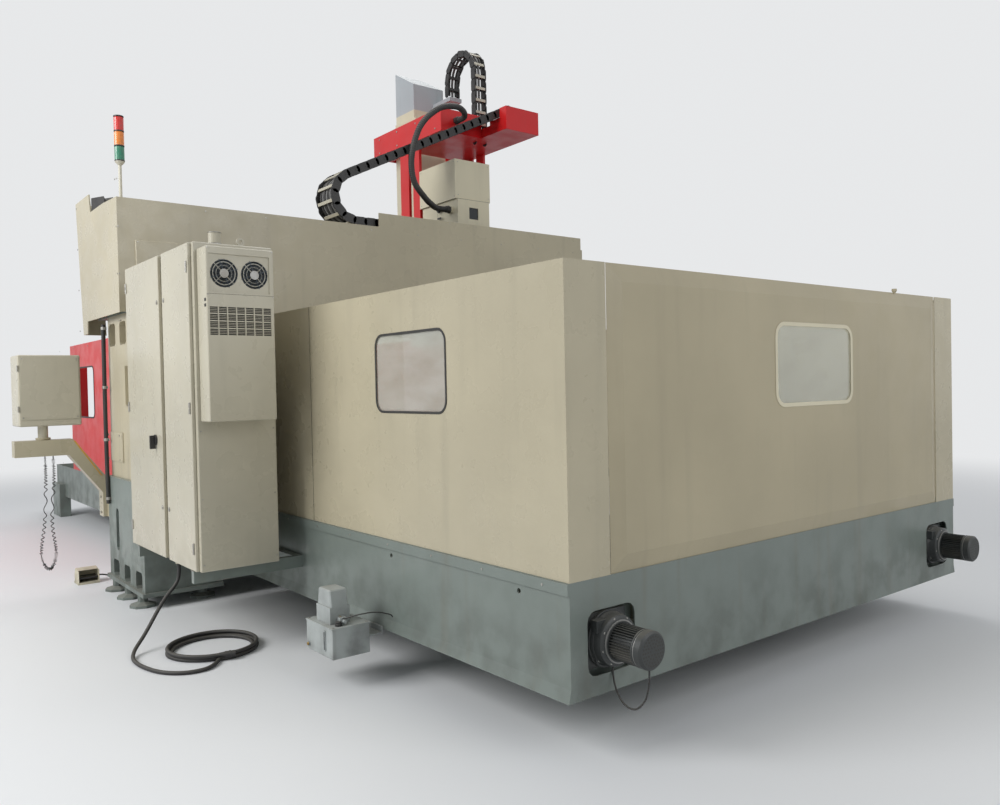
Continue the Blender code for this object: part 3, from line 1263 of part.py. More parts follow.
def build_spindle():
    centre = ((RAM_FRONT_X + RAM_REAR_X) / 2, HEAD_Y)
    top = RAM_NOSE_Z + SPINDLE_LENGTH
    nose = RAM_NOSE_Z - GAP
    low = RAM_NOSE_Z - SPINDLE_LENGTH / 4
    spindle = turned([(0.0, top), (SPINDLE_RADIUS, top), (SPINDLE_RADIUS, nose),
                      (SPINDLE_COLLAR_RADIUS, nose),
                      (SPINDLE_COLLAR_RADIUS, low), (SPINDLE_TAPER_RADIUS, low),
                      (SPINDLE_TAPER_RADIUS * 0.6, low + SPINDLE_TAPER_DEPTH),
                      (0.0, low + SPINDLE_TAPER_DEPTH)], (*centre, 0.0), steps=24)
    finish(spindle, "spindle", "steel", (*centre, low))


def build_conduit():
    """Thick conduit looping from the platform down to the junction box."""
    socket_x, socket_z = socket_place()
    end_y = JUNCTION_Y[0] - 2 * GAP
    start_y, start_z = CONDUIT_START
    route = [(PLATFORM_X[1] + 2 * GAP, HEAD_Y + start_y, start_z)]
    route += [(x, HEAD_Y + y, z) for x, y, z in CONDUIT_ROUTE]
    route += [(socket_x, JUNCTION_Y[0] - CONDUIT_LEAD_IN, socket_z), (socket_x, end_y, socket_z)]
    item = tube(smooth_route(route, CONDUIT_RADIUS * 4), CONDUIT_RADIUS)
    finish(item, "head_conduit", "black")


def build_rear_pan():
    """Deep pan round the rear of the bed, open towards the bed, with two gearmotor openings."""
    w = PAN_WALL
    outer = prism(rectangle((REAR_START_X, REAR_X), (-HALF_WIDTH, HALF_WIDTH)), "Z", PAN_BOTTOM_Z,
                  PAN_TOP_Z)
    cut(outer, box((REAR_START_X + w, REAR_X - w), (-HALF_WIDTH + w, HALF_WIDTH - w),
                   (PAN_BOTTOM_Z + w, PAN_TOP_Z + OVERRUN)))
    cut(outer, box((REAR_START_X - OVERRUN, SLOT_END_X), (-SLOT_SIDE_Y, SLOT_SIDE_Y),
                   (PAN_BOTTOM_Z - OVERRUN, PAN_TOP_Z + OVERRUN)))
    # The table's way cover slides through the pan's start wall, so the wall is notched for its skirts
    notch_y = COVER_HALF_WIDTH + 2 * COVER_STEP + w
    cut(outer, box((REAR_START_X - OVERRUN, REAR_START_X + 2 * w), (-notch_y, notch_y),
                   (COVER_SKIRT_Z - w, PAN_TOP_Z + OVERRUN)))
    y = HALF_WIDTH
    lip = PAN_FLANGE_PROUD
    ledge = PAN_LEDGE_PROUD
    half_section = [(y - w / 2, PAN_BOTTOM_Z), (y + lip, PAN_BOTTOM_Z), (y, PAN_BOTTOM_Z + PAN_FLANGE_Z),
                    (y - w / 2, PAN_BOTTOM_Z + PAN_FLANGE_Z)]
    ledge_section = [(y - w / 2, PAN_LEDGE_Z[0]), (y + ledge, PAN_LEDGE_Z[0]), (y + ledge, PAN_LEDGE_Z[1]),
                     (y - w / 2, PAN_LEDGE_Z[1])]
    for side in (-1, 1):
        for section in (half_section, ledge_section):
            fuse(outer, prism([(side * u, v) for u, v in section], "X", REAR_START_X, REAR_X))
    openings = []
    for side in (-1, 1):
        yc = side * TROUGH_Y
        bulkhead_x = REAR_X - DRIVE_RECESS
        fuse(outer, box((bulkhead_x - DRIVE_BULKHEAD, bulkhead_x),
                        (yc - side * TROUGH_HALF, side * (y - w / 2)),
                        (PAN_BOTTOM_Z + w / 2, PAN_TOP_Z - w)))
        openings.append(prism(rounded((yc - DRIVE_OPENING_HALF_Y, yc + DRIVE_OPENING_HALF_Y),
                                      (TROUGH_Z - DRIVE_OPENING_HALF_Z, TROUGH_Z + DRIVE_OPENING_HALF_Z),
                                      DRIVE_OPENING_RADIUS),
                              "X", bulkhead_x + w / 2, REAR_X + OVERRUN))
        openings.append(cylinder(CHIP_JOURNAL_RADIUS + GAP, "X", bulkhead_x - DRIVE_BULKHEAD - OVERRUN,
                                 bulkhead_x + w / 2, (yc, TROUGH_Z)))
        for x in PAN_BOLT_X:
            openings.append(cylinder(PAN_BOLT_RADIUS, "Y", side * y - OVERRUN, side * y + OVERRUN,
                                     (x, PAN_BOLT_Z), 12))
        fuse(outer, box((CHIP_SCREW_X[0] - CHIP_BEARING, CHIP_SCREW_X[0] - GAP),
                        (yc - CHIP_SHAFT_RADIUS * 2, yc + CHIP_SHAFT_RADIUS * 2),
                        (PAN_BOTTOM_Z + w / 2, TROUGH_Z + CHIP_SHAFT_RADIUS * 2)))
    for tool in openings:
        cut(outer, tool)
    finish(outer, "rear_pan", "blue_grey")


def build_front_pan():
    """Front pan round the bed, with small corner feet."""
    w = PAN_WALL
    pan = prism(rectangle((FRONT_X, FRONT_START_X), (-HALF_WIDTH, HALF_WIDTH)), "Z", PAN_BOTTOM_Z,
                FRONT_PAN_TOP_Z)
    cut(pan, box((FRONT_X + w, FRONT_START_X - w), (-HALF_WIDTH + w, HALF_WIDTH - w),
                 (PAN_BOTTOM_Z + w, FRONT_PAN_TOP_Z + OVERRUN)))
    cut(pan, box((-SLOT_END_X, FRONT_START_X + OVERRUN), (-SLOT_SIDE_Y, SLOT_SIDE_Y),
                 (PAN_BOTTOM_Z - OVERRUN, FRONT_PAN_TOP_Z + OVERRUN)))
    for side in (-1, 1):
        outer = side * (HALF_WIDTH + FRONT_FOOT_PROUD)
        fuse(pan, box(FRONT_FOOT_X, (outer, side * (HALF_WIDTH - FRONT_FOOT_PROUD)),
                      (0.0, FRONT_FOOT_TOP_Z)))
    finish(pan, "front_pan", "blue_grey")


def window_cut(u, v, axis, at):
    return prism(rounded(u, v, WINDOW_RADIUS), axis, at - OVERRUN, at + OVERRUN)


def build_side_panel(name, side):
    """Side guard sheet, folded round the rear corner and along its top edge."""
    y, s = HALF_WIDTH, SHEET
    fold = y - GUARD_RETURN
    outline = [(REAR_START_X, -y), (REAR_X, -y), (REAR_X, -fold), (REAR_X - s, -fold),
               (REAR_X - s, -y + s), (REAR_START_X, -y + s)]
    panel = prism(outline, "Z", GUARD_BOTTOM_Z, GUARD_TOP_Z)
    fuse(panel, box((REAR_START_X, REAR_X - s / 2), (-y + s / 2, -y + GUARD_TOP_FLANGE),
                    (GUARD_TOP_Z - s, GUARD_TOP_Z)))
    cut(panel, box((GUARD_SEAM_X, GUARD_SEAM_X + GUARD_SEAM_WIDTH), (-y - OVERRUN, -y + GUARD_SEAM_DEPTH),
                   (GUARD_BOTTOM_Z - OVERRUN, GUARD_TOP_Z + OVERRUN)))
    if side < 0:
        cut(panel, window_cut(SIDE_WINDOW_X, SIDE_WINDOW_Z, "Y", -y))
    else:
        mirror_y(panel)
    finish(panel, name, "beige")


def frustum(back_x, front_x, y, z, inset):
    """Plate whose front face is drawn in on all four sides."""
    shape = bmesh.new()
    bmesh.ops.create_cube(shape, size=1.0)
    for vert in shape.verts:
        front = vert.co.x > 0
        shrink = inset if front else 0.0
        vert.co.x = front_x if front else back_x
        vert.co.y = y[1] - shrink if vert.co.y > 0 else y[0] + shrink
        vert.co.z = z[1] - shrink if vert.co.z > 0 else z[0] + shrink
    return from_bmesh("frustum", shape)


def build_end_panel():
    s = SHEET
    y = (-HALF_WIDTH + GUARD_RETURN + END_PANEL_GAP, HALF_WIDTH - GUARD_RETURN - END_PANEL_GAP)
    z = (GUARD_BOTTOM_Z, GUARD_TOP_Z)
    panel = frustum(REAR_X - s, REAR_X + END_PANEL_RAISE, y, z, END_PANEL_BORDER)
    inner_y = (y[0] + s, y[1] - s)
    inner_z = (z[0] + s, z[1] - s)
    cut(panel, frustum(REAR_X - 2 * s, REAR_X + END_PANEL_RAISE - s, inner_y, inner_z, END_PANEL_BORDER))
    cut(panel, window_cut(END_WINDOW_Y, END_WINDOW_Z, "X", REAR_X))
    top = GUARD_TOP_Z - s / 2
    fuse(panel, turned([(0.0, top + EYE_HEIGHT), (EYE_RADIUS, top + EYE_HEIGHT),
                        (EYE_RADIUS, top + EYE_HEIGHT / 2),
                        (EYE_RADIUS / 2, top), (0.0, top)], (REAR_X, EYE_Y, 0.0), steps=12))
    finish(panel, "end_panel", "beige")


def build_windows():
    o = GLASS_OVERLAP
    x, z = SIDE_WINDOW_X, SIDE_WINDOW_Z
    glass_y = -HALF_WIDTH + SHEET + GAP
    pane = prism(rounded((x[0] - o, x[1] + o), (z[0] - o, z[1] + o), WINDOW_RADIUS), "Y", glass_y,
                 glass_y + GLASS)
    finish(pane, "side_window", "glass")
    y, z = END_WINDOW_Y, END_WINDOW_Z
    glass_x = REAR_X + END_PANEL_RAISE - SHEET - GAP
    pane = prism(rounded((y[0] - o, y[1] + o), (z[0] - o, z[1] + o), WINDOW_RADIUS), "X", glass_x - GLASS,
                 glass_x)
    finish(pane, "end_window", "glass")


def build_front_guard(name, side):
    """Red front guard with a drawn-in front fold and a window opening."""
    y, s = HALF_WIDTH, SHEET
    x0, x1 = FRONT_GUARD_X
    outline = [(x0, -y + FRONT_GUARD_BEND), (x0, -y), (x1, -y), (x1, -y + s), (x0 + s, -y + s),
               (x0 + s, -y + FRONT_GUARD_BEND)]
    guard = prism(outline, "Z", *FRONT_GUARD_Z)
    cut(guard, window_cut(FRONT_WINDOW_X, FRONT_WINDOW_Z, "Y", -y))
    if side > 0:
        mirror_y(guard)
    finish(guard, name, "red")


def build_cabinet():
    """Hollow cabinet shell, open at its two doors, with a centre post."""
    w = CABINET_WALL
    x0, x1 = CABINET_X
    y0, y1 = CABINET_Y
    z0, z1 = CABINET_Z
    shell = bevelled(box(CABINET_X, CABINET_Y, CABINET_Z), w / 3)
    cut(shell, box((x0 + w, x1 - w), (y0 + w, y1 - w), (z0 + w, z1 - w)))
    lip = CABINET_LIP
    cut(shell, box((x0 + lip, CABINET_DIVIDER[0] - lip / 2), (y0 - OVERRUN, y0 + 2 * w),
                   (z0 + lip, z1 - lip)))
    cut(shell, box((CABINET_DIVIDER[1] + lip / 2, x1 - CABINET_POST_X - lip / 2),
                   (y0 - OVERRUN, y0 + 2 * w), (z0 + lip, z1 - lip)))
    eye = [(CABINET_EYE_Y + CABINET_EYE_RADIUS * u, z1 + CABINET_EYE_RADIUS * (1.3 + v))
           for u, v in circle(0, 0, 1.0, 20)]
    hole_share = 1 - CABINET_EYE_WIRE * 2 / CABINET_EYE_RADIUS
    hole = [(CABINET_EYE_Y + CABINET_EYE_RADIUS * u, z1 + CABINET_EYE_RADIUS * (1.3 + v))
            for u, v in circle(0, 0, hole_share, 20)]
    fuse(shell, prism(eye, "X", CABINET_EYE_X - CABINET_EYE_WIRE, CABINET_EYE_X + CABINET_EYE_WIRE, [hole]))
    fuse(shell, cylinder(CABINET_EYE_WIRE * 2, "Z", z1 - w / 2, z1 + CABINET_EYE_RADIUS * 0.45,
                         (CABINET_EYE_X, CABINET_EYE_Y), 12))
    fuse(shell, cylinder(CABINET_VENT_RADIUS, "Z", z1 - w / 2, z1 + CABINET_VENT_HEIGHT,
                         (CABINET_EYE_X, CABINET_VENT_Y), 20))
    fuse(shell, cylinder(CORD_GLAND_RADIUS, "Z", z0 - CORD_GLAND_LENGTH, z0 + w / 2,
                         (CORD_GLAND_X, CORD_GLAND_Y), 16))
    finish(shell, "cabinet", "beige")


def build_cabinet_door(name, x, hinge_x):
    """Flat pan door with folded edges and two hinge knuckles on its outer edge."""
    face_y = CABINET_Y[0] - DOOR_RAISE
    z = (CABINET_Z[0] + DOOR_EDGE, CABINET_Z[1] - DOOR_EDGE)
    door = bevelled(box(x, (face_y - DOOR_THICKNESS, face_y), z), DOOR_EDGE)
    f = DOOR_FOLD
    cut(door, box((x[0] + f, x[1] - f), (face_y - DOOR_THICKNESS + DOOR_EDGE, face_y + OVERRUN),
                  (z[0] + f, z[1] - f)))
    finish(door, name, "beige", (hinge_x, face_y - DOOR_THICKNESS / 2, 0.0))


def build_cabinet_doors():
    e = DOOR_EDGE
    far = (CABINET_X[0] + e, CABINET_DIVIDER[0])
    near = (CABINET_DIVIDER[1], CABINET_X[1] - CABINET_POST_X)
    build_cabinet_door("far_cabinet_door", far, far[0])
    build_cabinet_door("near_cabinet_door", near, near[1])


def build_main_switch():
    """Round escutcheon with a turning lever on the far door."""
    face = CABINET_Y[0] - DOOR_RAISE - DOOR_THICKNESS - GAP
    centre = (SWITCH_X, SWITCH_Z)
    knob = cylinder(SWITCH_RADIUS, "Y", face - SWITCH_BASE, face, centre)
    half_length, half_width, height = SWITCH_HANDLE
    fuse(knob, box((SWITCH_X - half_width / 2, SWITCH_X + half_width / 2),
                   (face - SWITCH_BASE - height, face - SWITCH_BASE / 2),
                   (SWITCH_Z - half_length, SWITCH_Z + half_length / 2)))
    finish(knob, "main_switch", "black", (SWITCH_X, face, SWITCH_Z))


def build_cabinet_stand():
    """Two beams that carry the cabinet out from the rear pan's side."""
    top = CABINET_Z[0] - GAP
    wall = -HALF_WIDTH - PAN_FLANGE_PROUD - GAP
    low = top - STAND_BEAM_HEIGHT
    stand = box((STAND_BEAM_X[0][0], STAND_BEAM_X[1][1]),
                (-HALF_WIDTH - GAP - STAND_RAIL, -HALF_WIDTH - GAP), (low, top))
    for beam_x in STAND_BEAM_X:
        fuse(stand, box(beam_x, (CABINET_Y[0] - STAND_REACH, wall), (low, top)))
    finish(stand, "cabinet_stand", "blue_grey")


def fan_place(index):
    return COOLER_FAN_Y[index], COOLER_FAN_Z


def build_cooler():
    """Air conditioner with two guarded fans and a slotted grille."""
    x0, x1 = COOLER_X
    cooler = bevelled(box(COOLER_X, COOLER_Y, COOLER_Z), SHEET)
    cut(cooler, prism(rounded(COOLER_RECESS_Y, COOLER_RECESS_Z, SHEET, 2), "X", x1 - COOLER_RECESS_DEPTH,
                      x1 + OVERRUN))
    floor = x1 - COOLER_RECESS_DEPTH
    wells = [cylinder(COOLER_FAN_RADIUS, "X", floor - COOLER_FAN_DEPTH, floor + OVERRUN, fan_place(index),
                      20) for index in (0, 1)]
    cut(cooler, merge_cutters(wells))
    for index in (0, 1):
        y, z = fan_place(index)
        rings = []
        for radius in GUARD_RING_RADII:
            half = GUARD_RING_WIDTH / 2
            rings.append(prism(circle(y, z, radius + half, 16), "X", floor - GUARD_RING_WIDTH, floor,
                               [circle(y, z, radius - half, 16)]))
        hub = cylinder(COOLER_HUB_RADIUS, "X", floor - GUARD_RING_WIDTH, floor, (y, z), 12)
        rings.append(hub)
        guard = merge_cutters(rings)
        for spoke in range(GUARD_SPOKES):
            angle = math.pi * (spoke + 0.5) / GUARD_SPOKES
            along = Vector((math.cos(angle), math.sin(angle)))
            across = Vector((-along.y, along.x)) * GUARD_RING_WIDTH / 2
            reach = along * (COOLER_FAN_RADIUS + GUARD_RING_WIDTH / 2)
            middle = Vector((y, z))
            corners = [middle - reach - across, middle + reach - across, middle + reach + across,
                       middle - reach + across]
            fuse(guard, prism([tuple(corner) for corner in corners], "X", floor - GUARD_RING_WIDTH,
                              floor - GAP))
        fuse(cooler, guard)
    slots = []
    width = (GRILLE_Y[1] - GRILLE_Y[0] + GRILLE_BAR) / GRILLE_COLUMNS
    height = (GRILLE_Z[1] - GRILLE_Z[0] + GRILLE_BAR) / GRILLE_ROWS
    for column in range(GRILLE_COLUMNS):
        for row in range(GRILLE_ROWS):
            y = GRILLE_Y[0] + column * width
            z = GRILLE_Z[0] + row * height
            slots.append(box((x1 - GRILLE_DEPTH, x1 + OVERRUN), (y, y + width - GRILLE_BAR),
                             (z, z + height - GRILLE_BAR)))
    cut(cooler, merge_cutters(slots))
    finish(cooler, "air_conditioner", "beige")


def build_cooler_fan(name, index):
    """Axial fan: a hub with twisted blades."""
    y, z = fan_place(index)
    back = COOLER_X[1] - COOLER_RECESS_DEPTH - COOLER_FAN_DEPTH + GAP
    front = COOLER_X[1] - COOLER_RECESS_DEPTH - 2 * GUARD_RING_WIDTH
    fan = cylinder(COOLER_HUB_RADIUS, "X", back, front, (y, z), 20)
    middle_x = (back + front) / 2
    for blade in range(COOLER_BLADES):
        shape = bmesh.new()
        bmesh.ops.create_cube(shape, size=1.0)
        reach = COOLER_FAN_RADIUS - 2 * GUARD_RING_WIDTH
        length = reach - COOLER_HUB_RADIUS / 2
        bmesh.ops.scale(shape, vec=(SHEET, COOLER_FAN_DEPTH * 0.9, length), verts=shape.verts)
        shape.transform(Matrix.Rotation(math.radians(90 - COOLER_BLADE_TWIST_DEG), 4, "Z"))
        bmesh.ops.translate(shape, vec=(0, 0, COOLER_HUB_RADIUS / 2 + length / 2), verts=shape.verts)
        shape.transform(Matrix.Rotation(2 * math.pi * blade / COOLER_BLADES, 4, "X"))
        bmesh.ops.translate(shape, vec=(middle_x, y, z), verts=shape.verts)
        piece = from_bmesh("blade", shape)
        fuse(fan, piece)
    cut(fan, box((front, front + OVERRUN), (y - OVERRUN * 2, y + OVERRUN * 2),
                 (z - OVERRUN * 2, z + OVERRUN * 2)))
    cut(fan, box((back - OVERRUN, back), (y - OVERRUN * 2, y + OVERRUN * 2),
                 (z - OVERRUN * 2, z + OVERRUN * 2)))
    finish(fan, name, "black", (middle_x, y, z))


def build_stack_light():
    foot = RAIL_COVER_TOP_Z + GAP
    pole = turned([(0.0, STACK_LENS_LOW_Z), (STACK_LENS_RADIUS, STACK_LENS_LOW_Z),
                   (STACK_LENS_RADIUS, STACK_LENS_LOW_Z - STACK_RING_HEIGHT),
                   (STACK_POLE_RADIUS, STACK_LENS_LOW_Z - 3 * STACK_RING_HEIGHT),
                   (STACK_POLE_RADIUS, foot + STACK_FOOT_HEIGHT),
                   (STACK_FOOT_RADIUS, foot + STACK_FOOT_HEIGHT / 2), (STACK_FOOT_RADIUS, foot),
                   (0.0, foot)],
                  (STACK_X, STACK_Y, 0.0), steps=12)
    finish(pole, "stack_light_pole", "cream")
    start = STACK_LENS_LOW_Z + GAP
    profile = [(0.0, start)]
    for index in range(STACK_LENS_COUNT):
        low = start + index * (STACK_LENS_HEIGHT + STACK_RING_HEIGHT)
        high = low + STACK_LENS_HEIGHT
        profile += [(STACK_LENS_RADIUS, low), (STACK_LENS_RADIUS, high),
                    (STACK_LENS_RADIUS * 0.88, high + STACK_RING_HEIGHT / 4),
                    (STACK_LENS_RADIUS * 0.88, high + STACK_RING_HEIGHT * 0.75)]
    profile.append((0.0, high + STACK_RING_HEIGHT * 0.75))
    finish(turned(profile[::-1], (STACK_X, STACK_Y, 0.0), steps=16), "stack_light_lenses", "amber")


def build_lube_unit():
    """Oil tank with its lid, sight gauge and drain plug, hung from the pan by a bracket."""
    tank = bevelled(box(LUBE_X, LUBE_Y, LUBE_Z), LUBE_LID / 2)
    fuse(tank, box((LUBE_X[0] - LUBE_LID / 2, LUBE_X[1] + LUBE_LID / 2),
                   (LUBE_Y[0] - LUBE_LID / 2, LUBE_Y[1] + LUBE_LID / 2),
                   (LUBE_Z[1] - LUBE_LID, LUBE_Z[1])))
    fuse(tank, prism(rounded((LUBE_GAUGE_X - LUBE_GAUGE_WIDTH / 2, LUBE_GAUGE_X + LUBE_GAUGE_WIDTH / 2),
                             LUBE_GAUGE_Z, LUBE_GAUGE_WIDTH / 2.2),
                     "Y", LUBE_Y[0] - LUBE_LID, LUBE_Y[0] + LUBE_LID))
    fuse(tank, cylinder(LUBE_PLUG_RADIUS, "Y", LUBE_Y[0] - LUBE_LID, LUBE_Y[0] + LUBE_LID,
                        (LUBE_PLUG_X, LUBE_GAUGE_Z[0]), 12))
    wall = -HALF_WIDTH - PAN_FLANGE_PROUD - GAP
    fuse(tank, box(LUBE_BRACKET_X, (LUBE_Y[1] - LUBE_LID, wall),
                   (PAN_BOTTOM_Z - LUBE_BRACKET * 3, PAN_BOTTOM_Z - LUBE_BRACKET * 2)))
    fuse(tank, box(LUBE_BRACKET_X, (wall - LUBE_BRACKET, wall),
                   (PAN_BOTTOM_Z - LUBE_BRACKET * 3, PAN_BOTTOM_Z + PAN_FLANGE_Z / 4)))
    finish(tank, "lube_tank", "cream")
    seat = LUBE_Z[1] + GAP
    pump = box(LUBE_PUMP_X, LUBE_PUMP_Y, (seat, LUBE_PUMP_SPLIT_Z))
    cap = prism([(LUBE_PUMP_X[0], LUBE_PUMP_SPLIT_Z - LUBE_LID),
                 (LUBE_PUMP_X[1], LUBE_PUMP_SPLIT_Z - LUBE_LID),
                 (LUBE_PUMP_X[1] - LUBE_PUMP_TAPER, LUBE_PUMP_TOP_Z),
                 (LUBE_PUMP_X[0] + LUBE_PUMP_TAPER, LUBE_PUMP_TOP_Z)],
                "Y", LUBE_PUMP_Y[0] + LUBE_LID, LUBE_PUMP_Y[1] - LUBE_LID)
    fuse(pump, bevelled(cap, LUBE_LID))
    side = LUBE_PUMP_X[1]
    middle = (LUBE_PUMP_Y[0] + LUBE_PUMP_Y[1]) / 2
    fuse(pump, box((side - LUBE_LID, side + LUBE_BLOCK),
                   (middle - LUBE_BLOCK / 2, middle + LUBE_BLOCK / 2), (seat, seat + LUBE_BLOCK)))
    fuse(pump, cylinder(LUBE_BLOCK / 4, "X", side, side + LUBE_BLOCK * 1.6,
                        (middle, seat + LUBE_BLOCK / 2), 12))
    finish(pump, "lube_pump", "cream")


def build_gearmotor(name, side):
    """Flanged gear head with a finned motor and its slotted fan cover."""
    yc = side * TROUGH_Y
    start = REAR_X - DRIVE_RECESS + GAP
    m = DRIVE_FLANGE_MARGIN
    half_y, half_z = DRIVE_OPENING_HALF_Y - m, DRIVE_OPENING_HALF_Z - m
    flange_end = start + DRIVE_FLANGE
    drive = prism(rounded((yc - half_y, yc + half_y), (TROUGH_Z - half_z, TROUGH_Z + half_z),
                          DRIVE_OPENING_RADIUS), "X", start, flange_end)
    gear_end = flange_end + GEAR_LENGTH
    gear = turned([(0.0, gear_end), (GEAR_NECK_RADIUS, gear_end), (GEAR_NECK_RADIUS, gear_end - PLATE),
                   (GEAR_RADIUS, flange_end + PLATE * 2),
                   (GEAR_RADIUS, flange_end - DRIVE_FLANGE / 2), (0.0, flange_end - DRIVE_FLANGE / 2)],
                  (0.0, yc, TROUGH_Z), "X", 24)
    fuse(drive, gear)
    motor_end = gear_end + MOTOR_LENGTH
    fins = []
    for fin in range(MOTOR_FINS):
        pitch = 2 * math.pi / MOTOR_FINS
        half = pitch * MOTOR_FIN_SHARE / 2
        for radius, angle in ((MOTOR_CORE_RADIUS, fin * pitch - half), (MOTOR_RADIUS, fin * pitch - half),
                              (MOTOR_RADIUS, fin * pitch + half), (MOTOR_CORE_RADIUS, fin * pitch + half)):
            fins.append((yc + radius * math.cos(angle), TROUGH_Z + radius * math.sin(angle)))
    fuse(drive, prism(fins, "X", gear_end - PLATE / 2, motor_end))
    cover_end = motor_end + FAN_COVER_LENGTH
    r = FAN_COVER_ROUND
    cover = turned([(0.0, cover_end), (FAN_COVER_RADIUS - r, cover_end), (FAN_COVER_RADIUS, cover_end - r),
                    (FAN_COVER_RADIUS, motor_end - PLATE),
                    (0.0, motor_end - PLATE)], (0.0, yc, TROUGH_Z), "X", 24)
    slot_width, slot_length, slot_depth = FAN_COVER_SLOT
    slots = []
    for index in range(FAN_COVER_SLOTS):
        angle = 2 * math.pi * index / FAN_COVER_SLOTS
        along = Vector((math.cos(angle), math.sin(angle)))
        across = Vector((-along.y, along.x)) * slot_width / 2
        middle = Vector((yc, TROUGH_Z)) + along * FAN_COVER_SLOT_RADIUS
        reach = along * slot_length / 2
        corners = [middle - reach - across, middle + reach - across, middle + reach + across,
                   middle - reach + across]
        slots.append(prism([tuple(corner) for corner in corners], "X", cover_end - slot_depth,
                           cover_end + OVERRUN))
    cut(cover, merge_cutters(slots))
    fuse(drive, cover)
    bolts = []
    for dy in (-1, 1):
        for dz in (-1, 1):
            at = (yc + dy * (half_y - DRIVE_BOLT_INSET), TROUGH_Z + dz * (half_z - DRIVE_BOLT_INSET))
            bolts.append(cylinder(DRIVE_BOLT_RADIUS, "X", flange_end - DRIVE_FLANGE / 2,
                                  flange_end + DRIVE_BOLT_RADIUS, at, 6))
    fuse(drive, merge_cutters(bolts))
    finish(drive, name, "motor")


def build_chip_screw(name, side):
    """Auger: a shaft with a helical flight, journals at both ends."""
    yc = side * TROUGH_Y
    x0, x1 = CHIP_SCREW_X
    journal_end = REAR_X - DRIVE_RECESS
    end = REAR_X - DRIVE_RECESS - DRIVE_BULKHEAD - GAP
    shaft = turned([(0.0, journal_end), (CHIP_JOURNAL_RADIUS, journal_end), (CHIP_JOURNAL_RADIUS, end),
                    (CHIP_SHAFT_RADIUS, end),
                    (CHIP_SHAFT_RADIUS, x0), (0.0, x0)], (0.0, yc, TROUGH_Z), "X", CHIP_STEPS_PER_TURN)
    length = end - x0 - 2 * CHIP_FLIGHT
    turns = length / CHIP_SCREW_PITCH
    steps = int(turns * CHIP_STEPS_PER_TURN)
    shape = bmesh.new()
    rings = []
    for step in range(steps + 1):
        angle = 2 * math.pi * turns * step / steps
        x = x0 + CHIP_FLIGHT + (length - CHIP_FLIGHT) * step / steps
        ring = []
        for radius, shift in ((CHIP_SHAFT_RADIUS * 0.8, 0.0), (CHIP_SCREW_RADIUS, 0.0),
                              (CHIP_SCREW_RADIUS, CHIP_FLIGHT),
                              (CHIP_SHAFT_RADIUS * 0.8, CHIP_FLIGHT)):
            ring.append(shape.verts.new((x + shift, yc + radius * math.cos(angle) * -side,
                                         TROUGH_Z + radius * math.sin(angle))))
        rings.append(ring)
    for first, second in zip(rings, rings[1:]):
        for corner in range(4):
            following = (corner + 1) % 4
            shape.faces.new((first[corner], first[following], second[following], second[corner]))
    shape.faces.new(rings[0][::-1])
    shape.faces.new(rings[-1])
    fuse(shaft, from_bmesh("flight", shape))
    finish(shaft, name, "steel", (0.0, yc, TROUGH_Z))


def build_pendant_arm():
    """Box arm that rises from the column's foot and reaches out to the pendant."""
    foot_high, foot_low = ARM_FOOT_Z
    out_y, in_y = ARM_FOOT_Y[1], ARM_FOOT_Y[0]
    outline = [(ARM_TIP_Y, ARM_TOP_Z), (ARM_TIP_Y, ARM_LOW_Z), (ARM_BEND_Y[1], ARM_LOW_Z),
               (out_y, foot_high - (ARM_TOP_Z - ARM_LOW_Z)),
               (out_y, foot_low), (in_y, foot_low), (in_y, foot_high), (ARM_BEND_Y[0], ARM_TOP_Z)]
    arm = prism(outline, "X", *ARM_X)
    seat_x = COLUMN_FRONT_X - GAP
    fuse(arm, box((ARM_X[0], seat_x), (-COLUMN_OUTER_Y - GAP, -COLUMN_OUTER_Y + ARM_X[1] - ARM_X[0]),
                  (foot_low, foot_high)))
    finish(arm, "pendant_arm", "beige")


def build_pendant():
    """Operator box on a swivel: rear lid and screws, screen recess and three dials on its front."""
    x0, x1 = PENDANT_X
    y0, y1 = PENDANT_Y
    z0, z1 = PENDANT_Z
    body = bevelled(box(PENDANT_X, PENDANT_Y, PENDANT_Z), PENDANT_ROUND)
    i = PENDANT_BACK_INSET
    fuse(body, box((x1 - i, x1 + PENDANT_BACK_RAISE), (y0 + i, y1 - i), (z0 + PENDANT_SILL, z1 - i)))
    screws = []
    for y in (y0 + 3 * i, y1 - 3 * i):
        for z in (z0 + PENDANT_SILL + 2 * i, z1 - 3 * i):
            screws.append(cylinder(PENDANT_SCREW_RADIUS, "X", x1, x1 + PENDANT_BACK_RAISE * 2, (y, z), 10))
    fuse(body, merge_cutters(screws))
    y_low, y_high, z_low, z_high = PENDANT_SCREEN_SHARES
    width, height = y1 - y0, z1 - z0
    cut(body, prism(rounded((y0 + width * y_low, y0 + width * y_high),
                            (z0 + height * z_low, z0 + height * z_high), PENDANT_ROUND),
                    "X", x0 - OVERRUN, x0 + PENDANT_SCREEN_DEPTH))
    dials = []
    for index in range(PENDANT_DIALS):
        y = y0 + width * (index + 1) / (PENDANT_DIALS + 1)
        dials.append(cylinder(PENDANT_DIAL_RADIUS, "X", x0 - PENDANT_DIAL_RAISE, x0 + PENDANT_ROUND,
                              (y, z0 + height * z_low / 2), 20))
    fuse(body, merge_cutters(dials))
    fuse(body, cylinder(PENDANT_PIVOT_RADIUS, "Z", ARM_TOP_Z + GAP, z0 + PENDANT_ROUND * 2,
                        (PENDANT_PIVOT_X, PENDANT_PIVOT_Y)))
    finish(body, "pendant", "beige", (PENDANT_PIVOT_X, PENDANT_PIVOT_Y, z0))


def foot_pin_place():
    return FOOT_X[0] + FOOT_WALL * 4, FOOT_PEDAL_Z


